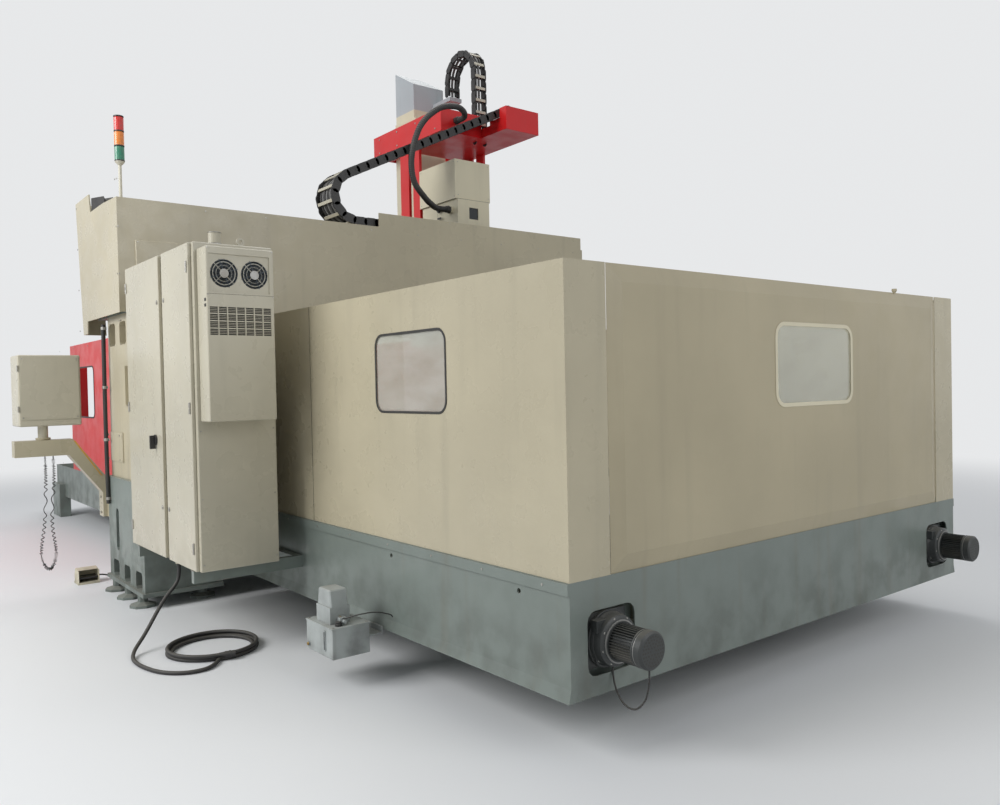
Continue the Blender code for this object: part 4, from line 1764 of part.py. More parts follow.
def build_foot_switch():
    """Hooded foot switch, open at one end, with a pin for its pedal."""
    x0, x1 = FOOT_X
    y0, y1 = FOOT_Y
    w = FOOT_WALL
    hood = [(x0, FOOT_BASE), (x0, FOOT_HOOD_Z * 0.6), (x0 + w * 8, FOOT_HOOD_Z), (x1, FOOT_HOOD_Z * 0.85),
            (x1, FOOT_BASE)]
    body = prism(hood, "Y", y0 + w, y1 - w)
    inner = [(x0 + w, FOOT_BASE + w), (x0 + w, FOOT_HOOD_Z * 0.6 - w), (x0 + w * 8, FOOT_HOOD_Z - w),
             (x1 + OVERRUN, FOOT_HOOD_Z * 0.85 - w),
             (x1 + OVERRUN, FOOT_BASE + w)]
    cut(body, prism(inner, "Y", y0 + 2 * w, y1 - 2 * w))
    fuse(body, box((x0, x1), (y0, y1), (0.0, FOOT_BASE + w / 2)))
    pin_x, pin_z = foot_pin_place()
    fuse(body, cylinder(FOOT_PIN_RADIUS, "Y", y0 + w, y1 - w, (pin_x, pin_z), 12))
    finish(body, "foot_switch", "pad")
    ear = FOOT_PIN_RADIUS * 2.4
    half = FOOT_PEDAL_THICKNESS / 2
    outline = circle(pin_x, pin_z, ear, 16)
    pedal = prism(outline, "Y", y0 + 2 * w + GAP, y1 - 2 * w - GAP)
    fuse(pedal, box((pin_x, pin_x + FOOT_PEDAL_LENGTH), (y0 + 2 * w + GAP, y1 - 2 * w - GAP),
                    (pin_z - half, pin_z + half)))
    cut(pedal, cylinder(FOOT_PIN_RADIUS + GAP, "Y", y0 - OVERRUN, y1 + OVERRUN, (pin_x, pin_z), 12))
    finish(pedal, "foot_pedal", "black", (pin_x, 0.0, pin_z))


def build_cords():
    """Power cord to its coil, the handwheel's curly cord and the riser hose on the left column."""
    floor = POWER_CORD_RADIUS + GAP
    top = CABINET_Z[0] - CORD_GLAND_LENGTH - 2 * GAP
    touch_angle = -2 * math.pi / COIL_STEPS
    touch_radius = COIL_RADIUS + COIL_TUBE_RADIUS + 2 * GAP
    coil_touch = Vector((COIL_CENTRE[0] + touch_radius * math.cos(touch_angle),
                         COIL_CENTRE[1] + touch_radius * math.sin(touch_angle), COIL_TUBE_RADIUS + GAP))
    route = [(CORD_GLAND_X, CORD_GLAND_Y, top), (CORD_GLAND_X, CORD_GLAND_Y, POWER_DROP_Z)]
    route += [(x, CABINET_Y[0] + y, z) for x, y, z in POWER_ROUTE]
    route += [(x, CABINET_Y[0] + y, floor) for x, y in POWER_FLOOR_ROUTE]
    route += [(POWER_LAST_X, coil_touch.y - POWER_LAST_SHIFT, COIL_TUBE_RADIUS), tuple(coil_touch)]
    finish(tube(kept_above(smooth_route(route, POWER_CORD_RADIUS * CORD_POINT_SPACING_SHARE), floor),
                POWER_CORD_RADIUS), "power_cord", "black")
    # The lowest corners of the ring's outline are raised to the floor's height by the flat share
    flat_share = math.cos(math.pi / COIL_SIDES)
    turns = [2 * math.pi * k / COIL_SIDES for k in range(COIL_SIDES)]
    ring = [(COIL_RADIUS + COIL_TUBE_RADIUS * math.cos(turn),
             COIL_TUBE_RADIUS + COIL_TUBE_RADIUS * math.sin(turn) * flat_share) for turn in turns]
    coil = turned([*ring[::-1], ring[-1]], (*COIL_CENTRE, GAP), steps=COIL_STEPS)
    finish(coil, "power_cord_coil", "black")
    arm_low = ARM_LOW_Z - 2 * GAP
    start_y, end_y = (ARM_TIP_Y + inset for inset in HAND_ENDS_INSET)
    hand_route = [(HAND_CORD_X, start_y, arm_low)]
    hand_route += [(HAND_CORD_X, ARM_TIP_Y + y, z) for y, z in HAND_ROUTE]
    hand_route += [(HAND_CORD_X, end_y, arm_low)]
    finish(tube(smooth_route(hand_route, HAND_CORD_RADIUS * CORD_POINT_SPACING_SHARE), HAND_CORD_RADIUS),
           "handwheel_cord", "black")
    foot_low = FOOT_CORD_RADIUS + GAP
    foot_x = FOOT_X[0] + FOOT_WALL * 10
    foot_y = FOOT_Y[1] - FOOT_WALL + 2 * GAP
    flange_x = COLUMN_FRONT_X - COLUMN_FLANGE - 2 * GAP
    flange_z = (COLUMN_BOTTOM_Z + COLUMN_FLANGE_TOP_Z) / 2
    flange_y = FOOT_Y[1] + FOOT_CORD_END
    foot_route = [(foot_x, foot_y, FOOT_CORD_EXIT_Z), (foot_x, foot_y + FOOT_CORD_EXIT, FOOT_CORD_EXIT_Z)]
    foot_route += [(x, FOOT_Y[1] + y, z or foot_low) for x, y, z in FOOT_ROUTE]
    foot_route += [(flange_x - FOOT_CORD_LEAD_IN, flange_y, flange_z), (flange_x, flange_y, flange_z)]
    finish(tube(kept_above(smooth_route(foot_route, FOOT_CORD_RADIUS * CORD_POINT_SPACING_SHARE),
                           foot_low), FOOT_CORD_RADIUS), "foot_switch_cord", "black")
    riser_y = -COLUMN_OUTER_Y - RISER_RADIUS - GAP
    riser_route = [(x, riser_y, z) for x, z in RISER_ROUTE]
    finish(tube(smooth_route(riser_route, RISER_RADIUS * CORD_POINT_SPACING_SHARE), RISER_RADIUS),
           "column_conduit", "black")


def build_all():
    build_bed()
    build_ball_screw()
    build_table()
    build_way_covers()
    build_column("left_column", -1)
    build_column("right_column", 1)
    build_crossrail()
    build_crossrail_cover()
    build_end_cover("left_end_cover", -1)
    build_end_cover("right_end_cover", 1)
    low_y, high_y = HEAD_Y - SADDLE_HALF_WIDTH, HEAD_Y + SADDLE_HALF_WIDTH
    build_bellows("left_bellows", -END_COVER_Y + GAP, low_y - GAP)
    build_bellows("right_bellows", high_y + GAP, END_COVER_Y - GAP)
    build_chain_tray()
    build_crossrail_chain()
    build_saddle()
    build_platform()
    build_junction_box()
    build_ram()
    build_ram_chain()
    build_spindle()
    build_conduit()
    build_rear_pan()
    build_front_pan()
    build_side_panel("left_side_panel", -1)
    build_side_panel("right_side_panel", 1)
    build_end_panel()
    build_windows()
    build_front_guard("front_left_guard", -1)
    build_front_guard("front_right_guard", 1)
    build_cabinet()
    build_cabinet_doors()
    build_main_switch()
    build_cabinet_stand()
    build_cooler()
    build_cooler_fan("left_condenser_fan", 0)
    build_cooler_fan("right_condenser_fan", 1)
    build_stack_light()
    build_lube_unit()
    for side, label in ((-1, "left"), (1, "right")):
        build_gearmotor(f"{label}_gearmotor", side)
        build_chip_screw(f"{label}_chip_screw", side)
    build_pendant_arm()
    build_pendant()
    build_foot_switch()
    build_cords()


build_all()
print(len(PARTS.objects), "pieces")
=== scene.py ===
# %% [markdown]
# # Dressing a double-column machining centre
# The CAD frame gives every rigid piece of the machine: guards, columns, crossrail, ram, cabinet and table.
# This lesson adds what the eye expects on top of them: cords, chain links, pleats, bolts, gaskets and paint.

import math

import bmesh
import bpy
from mathutils import Matrix, Vector


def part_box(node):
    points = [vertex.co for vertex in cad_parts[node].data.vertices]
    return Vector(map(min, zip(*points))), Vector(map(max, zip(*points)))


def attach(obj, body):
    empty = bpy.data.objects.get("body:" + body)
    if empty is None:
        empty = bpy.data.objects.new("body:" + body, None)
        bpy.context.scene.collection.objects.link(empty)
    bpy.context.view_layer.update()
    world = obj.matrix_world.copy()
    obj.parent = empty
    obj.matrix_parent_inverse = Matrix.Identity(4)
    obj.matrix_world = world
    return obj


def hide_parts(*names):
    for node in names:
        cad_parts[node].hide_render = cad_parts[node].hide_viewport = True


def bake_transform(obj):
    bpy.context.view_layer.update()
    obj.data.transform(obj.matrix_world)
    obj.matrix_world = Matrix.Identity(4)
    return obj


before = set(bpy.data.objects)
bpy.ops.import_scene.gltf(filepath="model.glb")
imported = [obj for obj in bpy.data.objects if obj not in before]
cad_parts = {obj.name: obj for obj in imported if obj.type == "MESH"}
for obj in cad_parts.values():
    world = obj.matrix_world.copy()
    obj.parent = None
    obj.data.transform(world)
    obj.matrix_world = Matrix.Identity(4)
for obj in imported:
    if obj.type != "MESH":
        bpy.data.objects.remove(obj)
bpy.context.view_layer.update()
scene = bpy.context.scene
print("nodes in the frame:", len(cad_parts))

# %% [markdown]
# ## Camera
# The picture was taken standing up, a little right of the machine's rear left corner, with a short lens.
# The camera's place and turn were solved from the guard's straight edges, so each piece falls
# where it should.

# %% Camera
FOCAL_SHARE, SENSOR = 0.84138, 36.0
EYE = (6.895, -3.901, 1.5)
AZIMUTH, ELEVATION, ROLL = (math.radians(value) for value in (51.506, 1.147, -1.217))
back = Vector((math.sin(AZIMUTH) * math.cos(ELEVATION), -math.cos(AZIMUTH) * math.cos(ELEVATION),
               math.sin(ELEVATION)))
level_right = Vector((math.cos(AZIMUTH), math.sin(AZIMUTH), 0.0))
level_up = back.cross(level_right)
right = math.cos(ROLL) * level_right + math.sin(ROLL) * level_up
up = math.cos(ROLL) * level_up - math.sin(ROLL) * level_right
camera = bpy.data.objects.new("camera", bpy.data.cameras.new("camera"))
camera.data.sensor_width = SENSOR
camera.data.lens = SENSOR * FOCAL_SHARE
camera.matrix_world = Matrix.Translation(EYE) @ Matrix((right, up, back)).transposed().to_4x4()
scene.collection.objects.link(camera)
scene.camera = camera
scene.view_settings.view_transform = "Standard"
print("lens:", round(camera.data.lens, 2), "mm")


# %% [markdown]
# ## Node helpers
# Every material and light below is wired with these few functions. A socket takes either the output of
# another node or a plain value, so one function does both.

# %% Node helpers
def add_node(tree, kind, **settings):
    node = tree.nodes.new(kind)
    for key, value in settings.items():
        setattr(node, key, value)
    return node


def feed(tree, socket, value):
    """Wire a source to a socket, or set its number or colour."""
    if isinstance(value, bpy.types.NodeSocket):
        tree.links.new(value, socket)
    else:
        socket.default_value = (*value, 1.0) if isinstance(value, tuple) else value


def calc(tree, operation, *values):
    node = add_node(tree, "ShaderNodeMath", operation=operation)
    for socket, value in zip(node.inputs, values):
        feed(tree, socket, value)
    return node.outputs[0]


def product(tree, result, *factors):
    for factor in factors:
        result = calc(tree, "MULTIPLY", result, factor)
    return result


def remap(tree, value, low, high, to_low=0.0, to_high=1.0, curve="SMOOTHSTEP"):
    node = add_node(tree, "ShaderNodeMapRange", interpolation_type=curve)
    for label, number in (("Value", value), ("From Min", low), ("From Max", high), ("To Min", to_low),
                          ("To Max", to_high)):
        feed(tree, node.inputs[label], number)
    return node.outputs["Result"]


def blend_colour(tree, share, first, second):
    node = add_node(tree, "ShaderNodeMix", data_type="RGBA")
    for index, value in ((0, share), (6, first), (7, second)):
        feed(tree, node.inputs[index], value)
    return node.outputs[2]


def object_place(tree):
    return add_node(tree, "ShaderNodeTexCoord").outputs["Object"]


def upward(tree, vector):
    """The Z part of a vector: a place's height, or how far a normal looks up."""
    node = add_node(tree, "ShaderNodeSeparateXYZ")
    feed(tree, node.inputs[0], vector)
    return node.outputs["Z"]


def noise(tree, scale, detail=3.0, stretch=(1, 1, 1)):
    mapping = add_node(tree, "ShaderNodeMapping")
    mapping.inputs["Scale"].default_value = stretch
    feed(tree, mapping.inputs["Vector"], object_place(tree))
    pattern = add_node(tree, "ShaderNodeTexNoise")
    for label, value in (("Scale", scale), ("Detail", detail), ("Vector", mapping.outputs[0])):
        feed(tree, pattern.inputs[label], value)
    return pattern.outputs["Fac"]


def mix_shaders(tree, share, first, second, target):
    mix = add_node(tree, "ShaderNodeMixShader")
    for socket, source in zip(mix.inputs, (share, first.outputs[0], second.outputs[0])):
        feed(tree, socket, source)
    feed(tree, target.inputs["Surface"], mix.outputs[0])


def new_material(name):
    """A material with its tree and its Principled shader's inputs."""
    material = bpy.data.materials.new(name)
    material.use_nodes = True
    return material, material.node_tree, material.node_tree.nodes["Principled BSDF"].inputs


# %% [markdown]
# ## Floor and light
# A pale studio replaces the hall. Daylight reached the machine from its left, so the larger lamp stands
# there, and the world fills the shadows. The backdrop's paleness comes from what camera rays see, not from
# more light.

# %% Floor and light
FLOOR_Z, FLOOR_ROUGHNESS, DAYLIGHT_STRENGTH = -0.0005, 0.65, 0.42
FLOOR_FADE = (6.0, 13.0)
FLOOR_GREY, DAYLIGHT, BACKDROP = (0.74, 0.75, 0.76), (0.93, 0.96, 1.0), (0.8, 0.81, 0.82)
LIT_POINT = Vector((0.5, 0.0, 1.4))
LAMPS = {"window_side": ((1.0, -9.0, 6.0), 5.0, 640.0), "end_side": ((11.0, 1.0, 5.5), 5.0, 210.0),
         "overhead": ((-1.0, 2.0, 9.5), 6.0, 300.0)}
for lamp_name, (place, size, power) in LAMPS.items():
    lamp = bpy.data.objects.new(lamp_name, bpy.data.lights.new(lamp_name, "AREA"))
    lamp.data.size = size
    lamp.data.energy = power
    aim = (LIT_POINT - Vector(place)).to_track_quat("-Z", "Y").to_matrix().to_4x4()
    lamp.matrix_world = Matrix.Translation(place) @ aim
    scene.collection.objects.link(lamp)

floor_mesh = bpy.data.meshes.new("studio_floor")
floor_mesh.from_pydata([(x, y, FLOOR_Z) for x, y in ((-30, -30), (30, -30), (30, 30), (-30, 30))], [],
                       [(0, 1, 2, 3)])
studio_floor = bpy.data.objects.new("studio_floor", floor_mesh)
scene.collection.objects.link(studio_floor)
floor_finish, tree, sockets = new_material("studio_floor")
feed(tree, sockets["Base Color"], FLOOR_GREY)
feed(tree, sockets["Roughness"], FLOOR_ROUGHNESS)
from_centre = add_node(tree, "ShaderNodeVectorMath", operation="LENGTH")
feed(tree, from_centre.inputs[0], object_place(tree))
far_glow = add_node(tree, "ShaderNodeEmission")
feed(tree, far_glow.inputs["Color"], BACKDROP)
far_share = product(tree, remap(tree, from_centre.outputs["Value"], *FLOOR_FADE),
                    add_node(tree, "ShaderNodeLightPath").outputs["Is Camera Ray"])
mix_shaders(tree, far_share, tree.nodes["Principled BSDF"], far_glow, tree.nodes["Material Output"])
floor_mesh.materials.append(floor_finish)

scene.world = bpy.data.worlds.new("studio")
scene.world.use_nodes = True
tree = scene.world.node_tree
tree.nodes.clear()
rays = add_node(tree, "ShaderNodeLightPath").outputs
seen = calc(tree, "MAXIMUM", rays["Is Camera Ray"], rays["Is Glossy Ray"])
seen = calc(tree, "MAXIMUM", seen, rays["Is Transmission Ray"])
light, shown = (add_node(tree, "ShaderNodeBackground") for _ in range(2))
feed(tree, light.inputs["Color"], DAYLIGHT)
feed(tree, light.inputs["Strength"], DAYLIGHT_STRENGTH)
feed(tree, shown.inputs["Color"], BACKDROP)
mix_shaders(tree, seen, light, shown, add_node(tree, "ShaderNodeOutputWorld"))


# %% [markdown]
# ## Shared surface effects
# Painted sheet is never one flat colour: it has a slight orange peel, cloudy tone, streaks that run down,
# grime near the floor and dust on what faces up. One node group makes all of these from Object coordinates.

# %% The paint group
def new_group(name, colour, **numbers):
    """A group that takes a colour and numbers, and puts out a colour, a roughness and a height."""
    group = bpy.data.node_groups.new(name, "ShaderNodeTree")
    for label, value in (("Color", (*colour, 1.0)), *numbers.items()):
        kind = "NodeSocketColor" if label == "Color" else "NodeSocketFloat"
        group.interface.new_socket(label, in_out="INPUT", socket_type=kind).default_value = value
    for label, kind in (("Color", "Color"), ("Roughness", "Float"), ("Height", "Float")):
        group.interface.new_socket(label, in_out="OUTPUT", socket_type="NodeSocket" + kind)
    return group, group.nodes.new("NodeGroupInput").outputs, group.nodes.new("NodeGroupOutput").inputs


def look_up(tree):
    return upward(tree, add_node(tree, "ShaderNodeNewGeometry").outputs["Normal"])


paint_group, given, out = new_group("aged_paint", (0.5, 0.5, 0.5), Roughness=0.4, Cloud=0.06, Streaks=0.25,
                                    Grime=0.4, Dust=0.3, Peel=0.3)
tree = paint_group
cloud, scuff, peel = noise(tree, 1.3, 5.0), noise(tree, 6.0, 6.0), noise(tree, 190.0, 2.0)
streak = noise(tree, 1.0, 4.0, (11.0, 11.0, 0.9))
toned = add_node(tree, "ShaderNodeVectorMath", operation="SCALE")
feed(tree, toned.inputs[0], given["Color"])
feed(tree, toned.inputs["Scale"],
     calc(tree, "MULTIPLY_ADD", remap(tree, cloud, 0.3, 0.7, -1.0, 1.0), given["Cloud"], 1.0))
streaked = product(tree, remap(tree, streak, 0.52, 0.78), given["Streaks"])
coloured = blend_colour(tree, streaked, toned.outputs[0], (0.15, 0.14, 0.11))
near_floor = remap(tree, upward(tree, object_place(tree)), 0.85, 0.1)
dirty = product(tree, near_floor, remap(tree, scuff, 0.35, 0.7), given["Grime"])
coloured = blend_colour(tree, dirty, coloured, (0.045, 0.042, 0.036))
dusty = product(tree, remap(tree, look_up(tree), 0.55, 0.95), remap(tree, scuff, 0.2, 0.75, 0.4, 1.0),
                given["Dust"])
feed(tree, out["Color"], blend_colour(tree, dusty, coloured, (0.34, 0.32, 0.27)))
shine = calc(tree, "MULTIPLY_ADD", remap(tree, scuff, 0.35, 0.7, -0.05, 0.09), 1.0, given["Roughness"])
feed(tree, out["Roughness"], calc(tree, "ADD", shine, product(tree, calc(tree, "ADD", dusty, dirty), 0.35)))
feed(tree, out["Height"], product(tree, peel, given["Peel"]))

# %% [markdown]
# Ground and rolled steel shows fine lines in one direction, with oil films that change its gloss.
# Rubber, cloth and moulded plastic share a third group: a skin grain, and dust that dulls the black.

# %% Metal and moulded-skin groups
metal_group, given, out = new_group("worn_metal", (0.6, 0.6, 0.6), Roughness=0.3, Lines=0.3, Oil=0.3)
tree = metal_group
lines = noise(tree, 1.0, 3.0, (9.0, 420.0, 420.0))
oily = product(tree, remap(tree, noise(tree, 5.0, 5.0), 0.45, 0.7), given["Oil"])
feed(tree, out["Color"], blend_colour(tree, oily, given["Color"], (0.11, 0.085, 0.05)))
feed(tree, out["Roughness"],
     calc(tree, "MULTIPLY_ADD", remap(tree, lines, 0.3, 0.7, -0.12, 0.12), 1.0, given["Roughness"]))
feed(tree, out["Height"], product(tree, lines, given["Lines"]))

skin_group, given, out = new_group("moulded_skin", (0.02, 0.02, 0.02), Roughness=0.5, Grain=0.4, Dust=0.3)
tree = skin_group
settled = calc(tree, "ADD", remap(tree, look_up(tree), 0.1, 0.9, 0.15, 0.9),
               remap(tree, noise(tree, 7.0, 5.0), 0.35, 0.75, 0.0, 0.25))
dusty = product(tree, settled, given["Dust"])
feed(tree, out["Color"], blend_colour(tree, dusty, given["Color"], (0.26, 0.24, 0.2)))
feed(tree, out["Roughness"], calc(tree, "MULTIPLY_ADD", dusty, 0.4, given["Roughness"]))
feed(tree, out["Height"], product(tree, noise(tree, 520.0, 2.0), given["Grain"]))

# %% [markdown]
# ## Materials
# Each finish keeps its own Principled shader. The groups only hand it colours, roughness and height.
# A row gives a colour, a roughness and what differs from the group's own values. Metals are metallic by 1.

# %% Materials
FINE_GRAIN, CAST_GRAIN = 0.0006, 0.0012
finish = {}


def finish_material(name, group, colour, roughness, metallic, bump=FINE_GRAIN, **values):
    finish[name], tree, sockets = new_material(name)
    finish[name].diffuse_color = (*colour, 1.0)
    effect = add_node(tree, "ShaderNodeGroup", node_tree=group)
    for label, value in {"Color": colour, "Roughness": roughness, **values}.items():
        feed(tree, effect.inputs[label], value)
    bumped = add_node(tree, "ShaderNodeBump")
    feed(tree, bumped.inputs["Distance"], bump)
    feed(tree, bumped.inputs["Height"], effect.outputs["Height"])
    for label, value in (("Metallic", metallic), ("Base Color", effect.outputs["Color"]),
                         ("Roughness", effect.outputs["Roughness"]), ("Normal", bumped.outputs[0])):
        feed(tree, sockets[label], value)


BEIGE, CREAM, GREY_GREEN = (0.445, 0.4, 0.285), (0.62, 0.57, 0.42), (0.175, 0.205, 0.185)
CASTING = {"bump": CAST_GRAIN, "Dust": 0.4, "Peel": 0.9}
PAINTS = {
    "beige_sheet": (BEIGE, 0.3, dict(Streaks=0.12, Grime=0.25, Dust=0.25, Peel=0.5)),
    "beige_casting": (BEIGE, 0.42, dict(CASTING, Streaks=0.3, Grime=0.5)),
    "khaki_sheet": ((0.4, 0.35, 0.235), 0.34, dict(Streaks=0.1, Grime=0.25, Dust=0.25, Peel=0.5)),
    "cabinet_paint": ((0.475, 0.445, 0.35), 0.3, dict(Streaks=0.08, Grime=0.3, Peel=0.8)),
    "grey_base": (GREY_GREEN, 0.34, dict(Streaks=0.4, Grime=0.45, Cloud=0.05)),
    "grey_casting": (GREY_GREEN, 0.45, dict(CASTING, Streaks=0.4, Grime=0.8)),
    "column_paint": (GREY_GREEN, 0.4, dict(CASTING, Streaks=0.3, Grime=0.45)),
    "ram_paint": (CREAM, 0.4, dict(Dust=0.25)),
    "red_sheet": ((0.6, 0.01, 0.012), 0.34, dict(Streaks=0.08, Dust=0.1, Cloud=0.05)),
    "cream_sheet": (CREAM, 0.38, dict(Streaks=0.1, Dust=0.2)),
    "lube_paint": ((0.4, 0.43, 0.42), 0.38, dict(Streaks=0.35, Grime=0.6, Dust=0.35)),
    "motor_paint": ((0.03, 0.034, 0.034), 0.42,
                    dict(bump=0.001, Streaks=0.1, Grime=0.3, Dust=0.35, Peel=0.9)),
    "yellow_edge": ((0.62, 0.34, 0.05), 0.45, dict(Streaks=0.2))}
METALS = {
    "table_iron": ((0.33, 0.33, 0.32), 0.36, dict(metallic=0.9, Oil=0.45)),
    "cover_steel": ((0.52, 0.52, 0.51), 0.34, {}),
    "ground_steel": ((0.62, 0.62, 0.62), 0.22, dict(Oil=0.2)),
    "bare_steel": ((0.34, 0.32, 0.29), 0.45, dict(Oil=0.6)),
    "zinc_screw": ((0.42, 0.41, 0.38), 0.42, dict(Oil=0.35)),
    "brass": ((0.62, 0.4, 0.13), 0.35, {}),
    "motor_silver": ((0.3, 0.3, 0.29), 0.45, dict(metallic=0.85, Oil=0.5)),
    "guard_wire": ((0.1, 0.12, 0.14), 0.4, dict(metallic=0.6, Oil=0.1))}
SKINS = {
    "black_rubber": ((0.012, 0.012, 0.013), 0.55, dict(Dust=0.22)),
    "black_plastic": ((0.014, 0.014, 0.015), 0.42, dict(Dust=0.16)),
    "chain_plastic": ((0.013, 0.013, 0.014), 0.45, dict(Dust=0.14)),
    "bar_plastic": ((0.5, 0.47, 0.38), 0.5, {}),
    "bellows_cloth": ((0.016, 0.016, 0.018), 0.7, dict(bump=0.001, Grain=0.8)),
    "seam_shadow": ((0.035, 0.034, 0.03), 0.7, dict(Dust=0.1)),
    "grey_cable": ((0.13, 0.13, 0.13), 0.5, dict(Dust=0.25)),
    "cream_plastic": ((0.58, 0.55, 0.45), 0.45, dict(Dust=0.2)),
    "screen_glass": ((0.01, 0.014, 0.018), 0.12, dict(Grain=0.0, Dust=0.03))}
for group, rows in ((paint_group, PAINTS), (metal_group, METALS), (skin_group, SKINS)):
    for name, (colour, roughness, values) in rows.items():
        finish_material(name, group, colour, roughness,
                        **{"metallic": float(group is metal_group), **values})


def two_tone(name, above, split_z, soft=0.004):
    """A second colour above a height, with the group's wear on both."""
    tree = finish[name].node_tree
    socket = next(node for node in tree.nodes if node.type == "GROUP").inputs["Color"]
    share = remap(tree, upward(tree, object_place(tree)), split_z - soft, split_z + soft)
    feed(tree, socket, blend_colour(tree, share, tuple(socket.default_value)[:3], above))


COLUMN_SPLIT_Z, RAM_SPLIT_Z = 0.872, 4.45
two_tone("column_paint", BEIGE, COLUMN_SPLIT_Z)
two_tone("ram_paint", (0.4, 0.43, 0.45), RAM_SPLIT_Z)
print("materials:", len(bpy.data.materials))

# %% [markdown]
# Window glass keeps a plain transmission value. The stack light is one moulding after another, so its colours
# follow its height: green at the foot, orange in the middle and red on top.

# %% Glass and lenses
finish["window_pane"], tree, sockets = new_material("window_pane")
feed(tree, sockets["Transmission Weight"], 0.9)
feed(tree, sockets["IOR"], 1.45)
smear = remap(tree, noise(tree, 4.0, 6.0), 0.4, 0.75, 0.0, 0.1)
feed(tree, sockets["Roughness"], smear)
feed(tree, sockets["Base Color"], blend_colour(tree, smear, (0.9, 0.94, 0.93), (0.62, 0.62, 0.58)))

finish["side_pane"] = finish["window_pane"].copy()
finish["side_pane"].name = "side_pane"
tree = finish["side_pane"].node_tree
sockets = tree.nodes["Principled BSDF"].inputs
feed(tree, sockets["Transmission Weight"], 0.45)
haze = remap(tree, noise(tree, 3.0, 6.0, (1.0, 1.0, 2.5)), 0.3, 0.8)
feed(tree, sockets["Base Color"], blend_colour(tree, haze, (0.62, 0.62, 0.55), (0.48, 0.46, 0.38)))

LENS_COLOURS = ((0.0, (0.01, 0.2, 0.11)), (0.333, (0.8, 0.22, 0.015)), (0.667, (0.62, 0.015, 0.012)))
finish["lens_plastic"], tree, sockets = new_material("lens_plastic")
feed(tree, sockets["Coat Weight"], 0.4)
lens_low, lens_high = (corner.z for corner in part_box("stack_light_lenses"))
ramp = add_node(tree, "ShaderNodeValToRGB")
ramp.color_ramp.interpolation = "CONSTANT"
ramp.color_ramp.elements.remove(ramp.color_ramp.elements[1])
for position, colour in LENS_COLOURS:
    stop = ramp.color_ramp.elements.new(position) if position else ramp.color_ramp.elements[0]
    stop.color = (*colour, 1.0)
level = upward(tree, object_place(tree))
feed(tree, ramp.inputs["Fac"], remap(tree, level, lens_low, lens_high, curve="LINEAR"))
dust = remap(tree, noise(tree, 60.0), 0.3, 0.8, 0.0, 0.25)
feed(tree, sockets["Base Color"], blend_colour(tree, dust, ramp.outputs["Color"], (0.2, 0.18, 0.15)))
feed(tree, sockets["Roughness"], remap(tree, noise(tree, 20.0), 0.3, 0.7, 0.18, 0.35))

# %% Paint the frame's own nodes
NODE_FINISH = {
    "grey_casting": "bed crossrail saddle", "column_paint": "left_column right_column",
    "beige_sheet": "left_side_panel right_side_panel crossrail_cover left_end_cover right_end_cover "
                   "chain_tray pendant_arm",
    "khaki_sheet": "end_panel",
    "cabinet_paint": "cabinet near_cabinet_door far_cabinet_door air_conditioner pendant",
    "grey_base": "rear_pan front_pan cabinet_stand",
    "red_sheet": "front_left_guard front_right_guard chain_platform",
    "cream_sheet": "junction_box foot_switch", "ram_paint": "ram", "lube_paint": "lube_tank lube_pump",
    "motor_paint": "left_gearmotor right_gearmotor", "table_iron": "table",
    "ground_steel": "x_ball_screw spindle", "bare_steel": "left_chip_screw right_chip_screw",
    "cover_steel": "rear_cover_fixed rear_cover_middle rear_cover_table front_cover_fixed front_cover_middle "
                   "front_cover_table",
    "side_pane": "side_window", "window_pane": "end_window", "cream_plastic": "stack_light_pole",
    "lens_plastic": "stack_light_lenses",
    "black_plastic": "main_switch left_condenser_fan right_condenser_fan foot_pedal",
    "chain_plastic": "crossrail_cable_chain ram_cable_chain", "bellows_cloth": "left_bellows right_bellows",
    "black_rubber": "head_conduit column_conduit power_cord power_cord_coil handwheel_cord foot_switch_cord"}
for name, node_names in NODE_FINISH.items():
    for node_name in node_names.split():
        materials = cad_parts[node_name].data.materials
        materials.clear()
        materials.append(finish[name])
print("painted nodes:", sum(len(names.split()) for names in NODE_FINISH.values()))


# %% [markdown]
# ## Mesh helpers
# Small hardware is built straight into a bmesh: blocks, rods and swept tubes. A bevel modifier then softens
# the edges, because nothing on a machine has a razor edge, and soft edges catch the light.

# %% Mesh helpers
SHARP_ANGLE, EDGE_ANGLE, HEAD_EDGE_ANGLE, HEAD_BEVEL_SHARE = 38, 45, 50, 0.18


def at(axis, along, first, second):
    """A point from its place along one axis and its two other coordinates, in their order."""
    point = [first, second]
    point.insert("XYZ".index(axis), along)
    return point


def polar(radius, degrees):
    return radius * math.cos(math.radians(degrees)), radius * math.sin(math.radians(degrees))


def circle(first, second, radius, angles):
    return [(first + du, second + dv) for du, dv in (polar(radius, angle) for angle in angles)]


def circle_points(axis, along, first, second, radius, angles):
    return [at(axis, along, u, v) for u, v in circle(first, second, radius, angles)]


def round_angles(count):
    return [360 * k / count for k in range(count)]


def spread(start, end, count):
    return [start + (end - start) * index / (count - 1) for index in range(count)]


def block(shape, low, high):
    made = bmesh.ops.create_cube(shape, size=1.0)["verts"]
    low, high = Vector(low), Vector(high)
    bmesh.ops.scale(shape, vec=high - low, verts=made)
    bmesh.ops.translate(shape, vec=(low + high) / 2, verts=made)


def rod(shape, start, end, radius, sides=20, end_radius=None):
    start, end = Vector(start), Vector(end)
    along = end - start
    turn = along.to_track_quat("Z", "Y").to_matrix().to_4x4()
    made = bmesh.ops.create_cone(shape, cap_ends=True, segments=sides, radius1=radius, depth=along.length,
                                 radius2=radius if end_radius is None else end_radius)["verts"]
    bmesh.ops.transform(shape, matrix=Matrix.Translation((start + end) / 2) @ turn, verts=made)


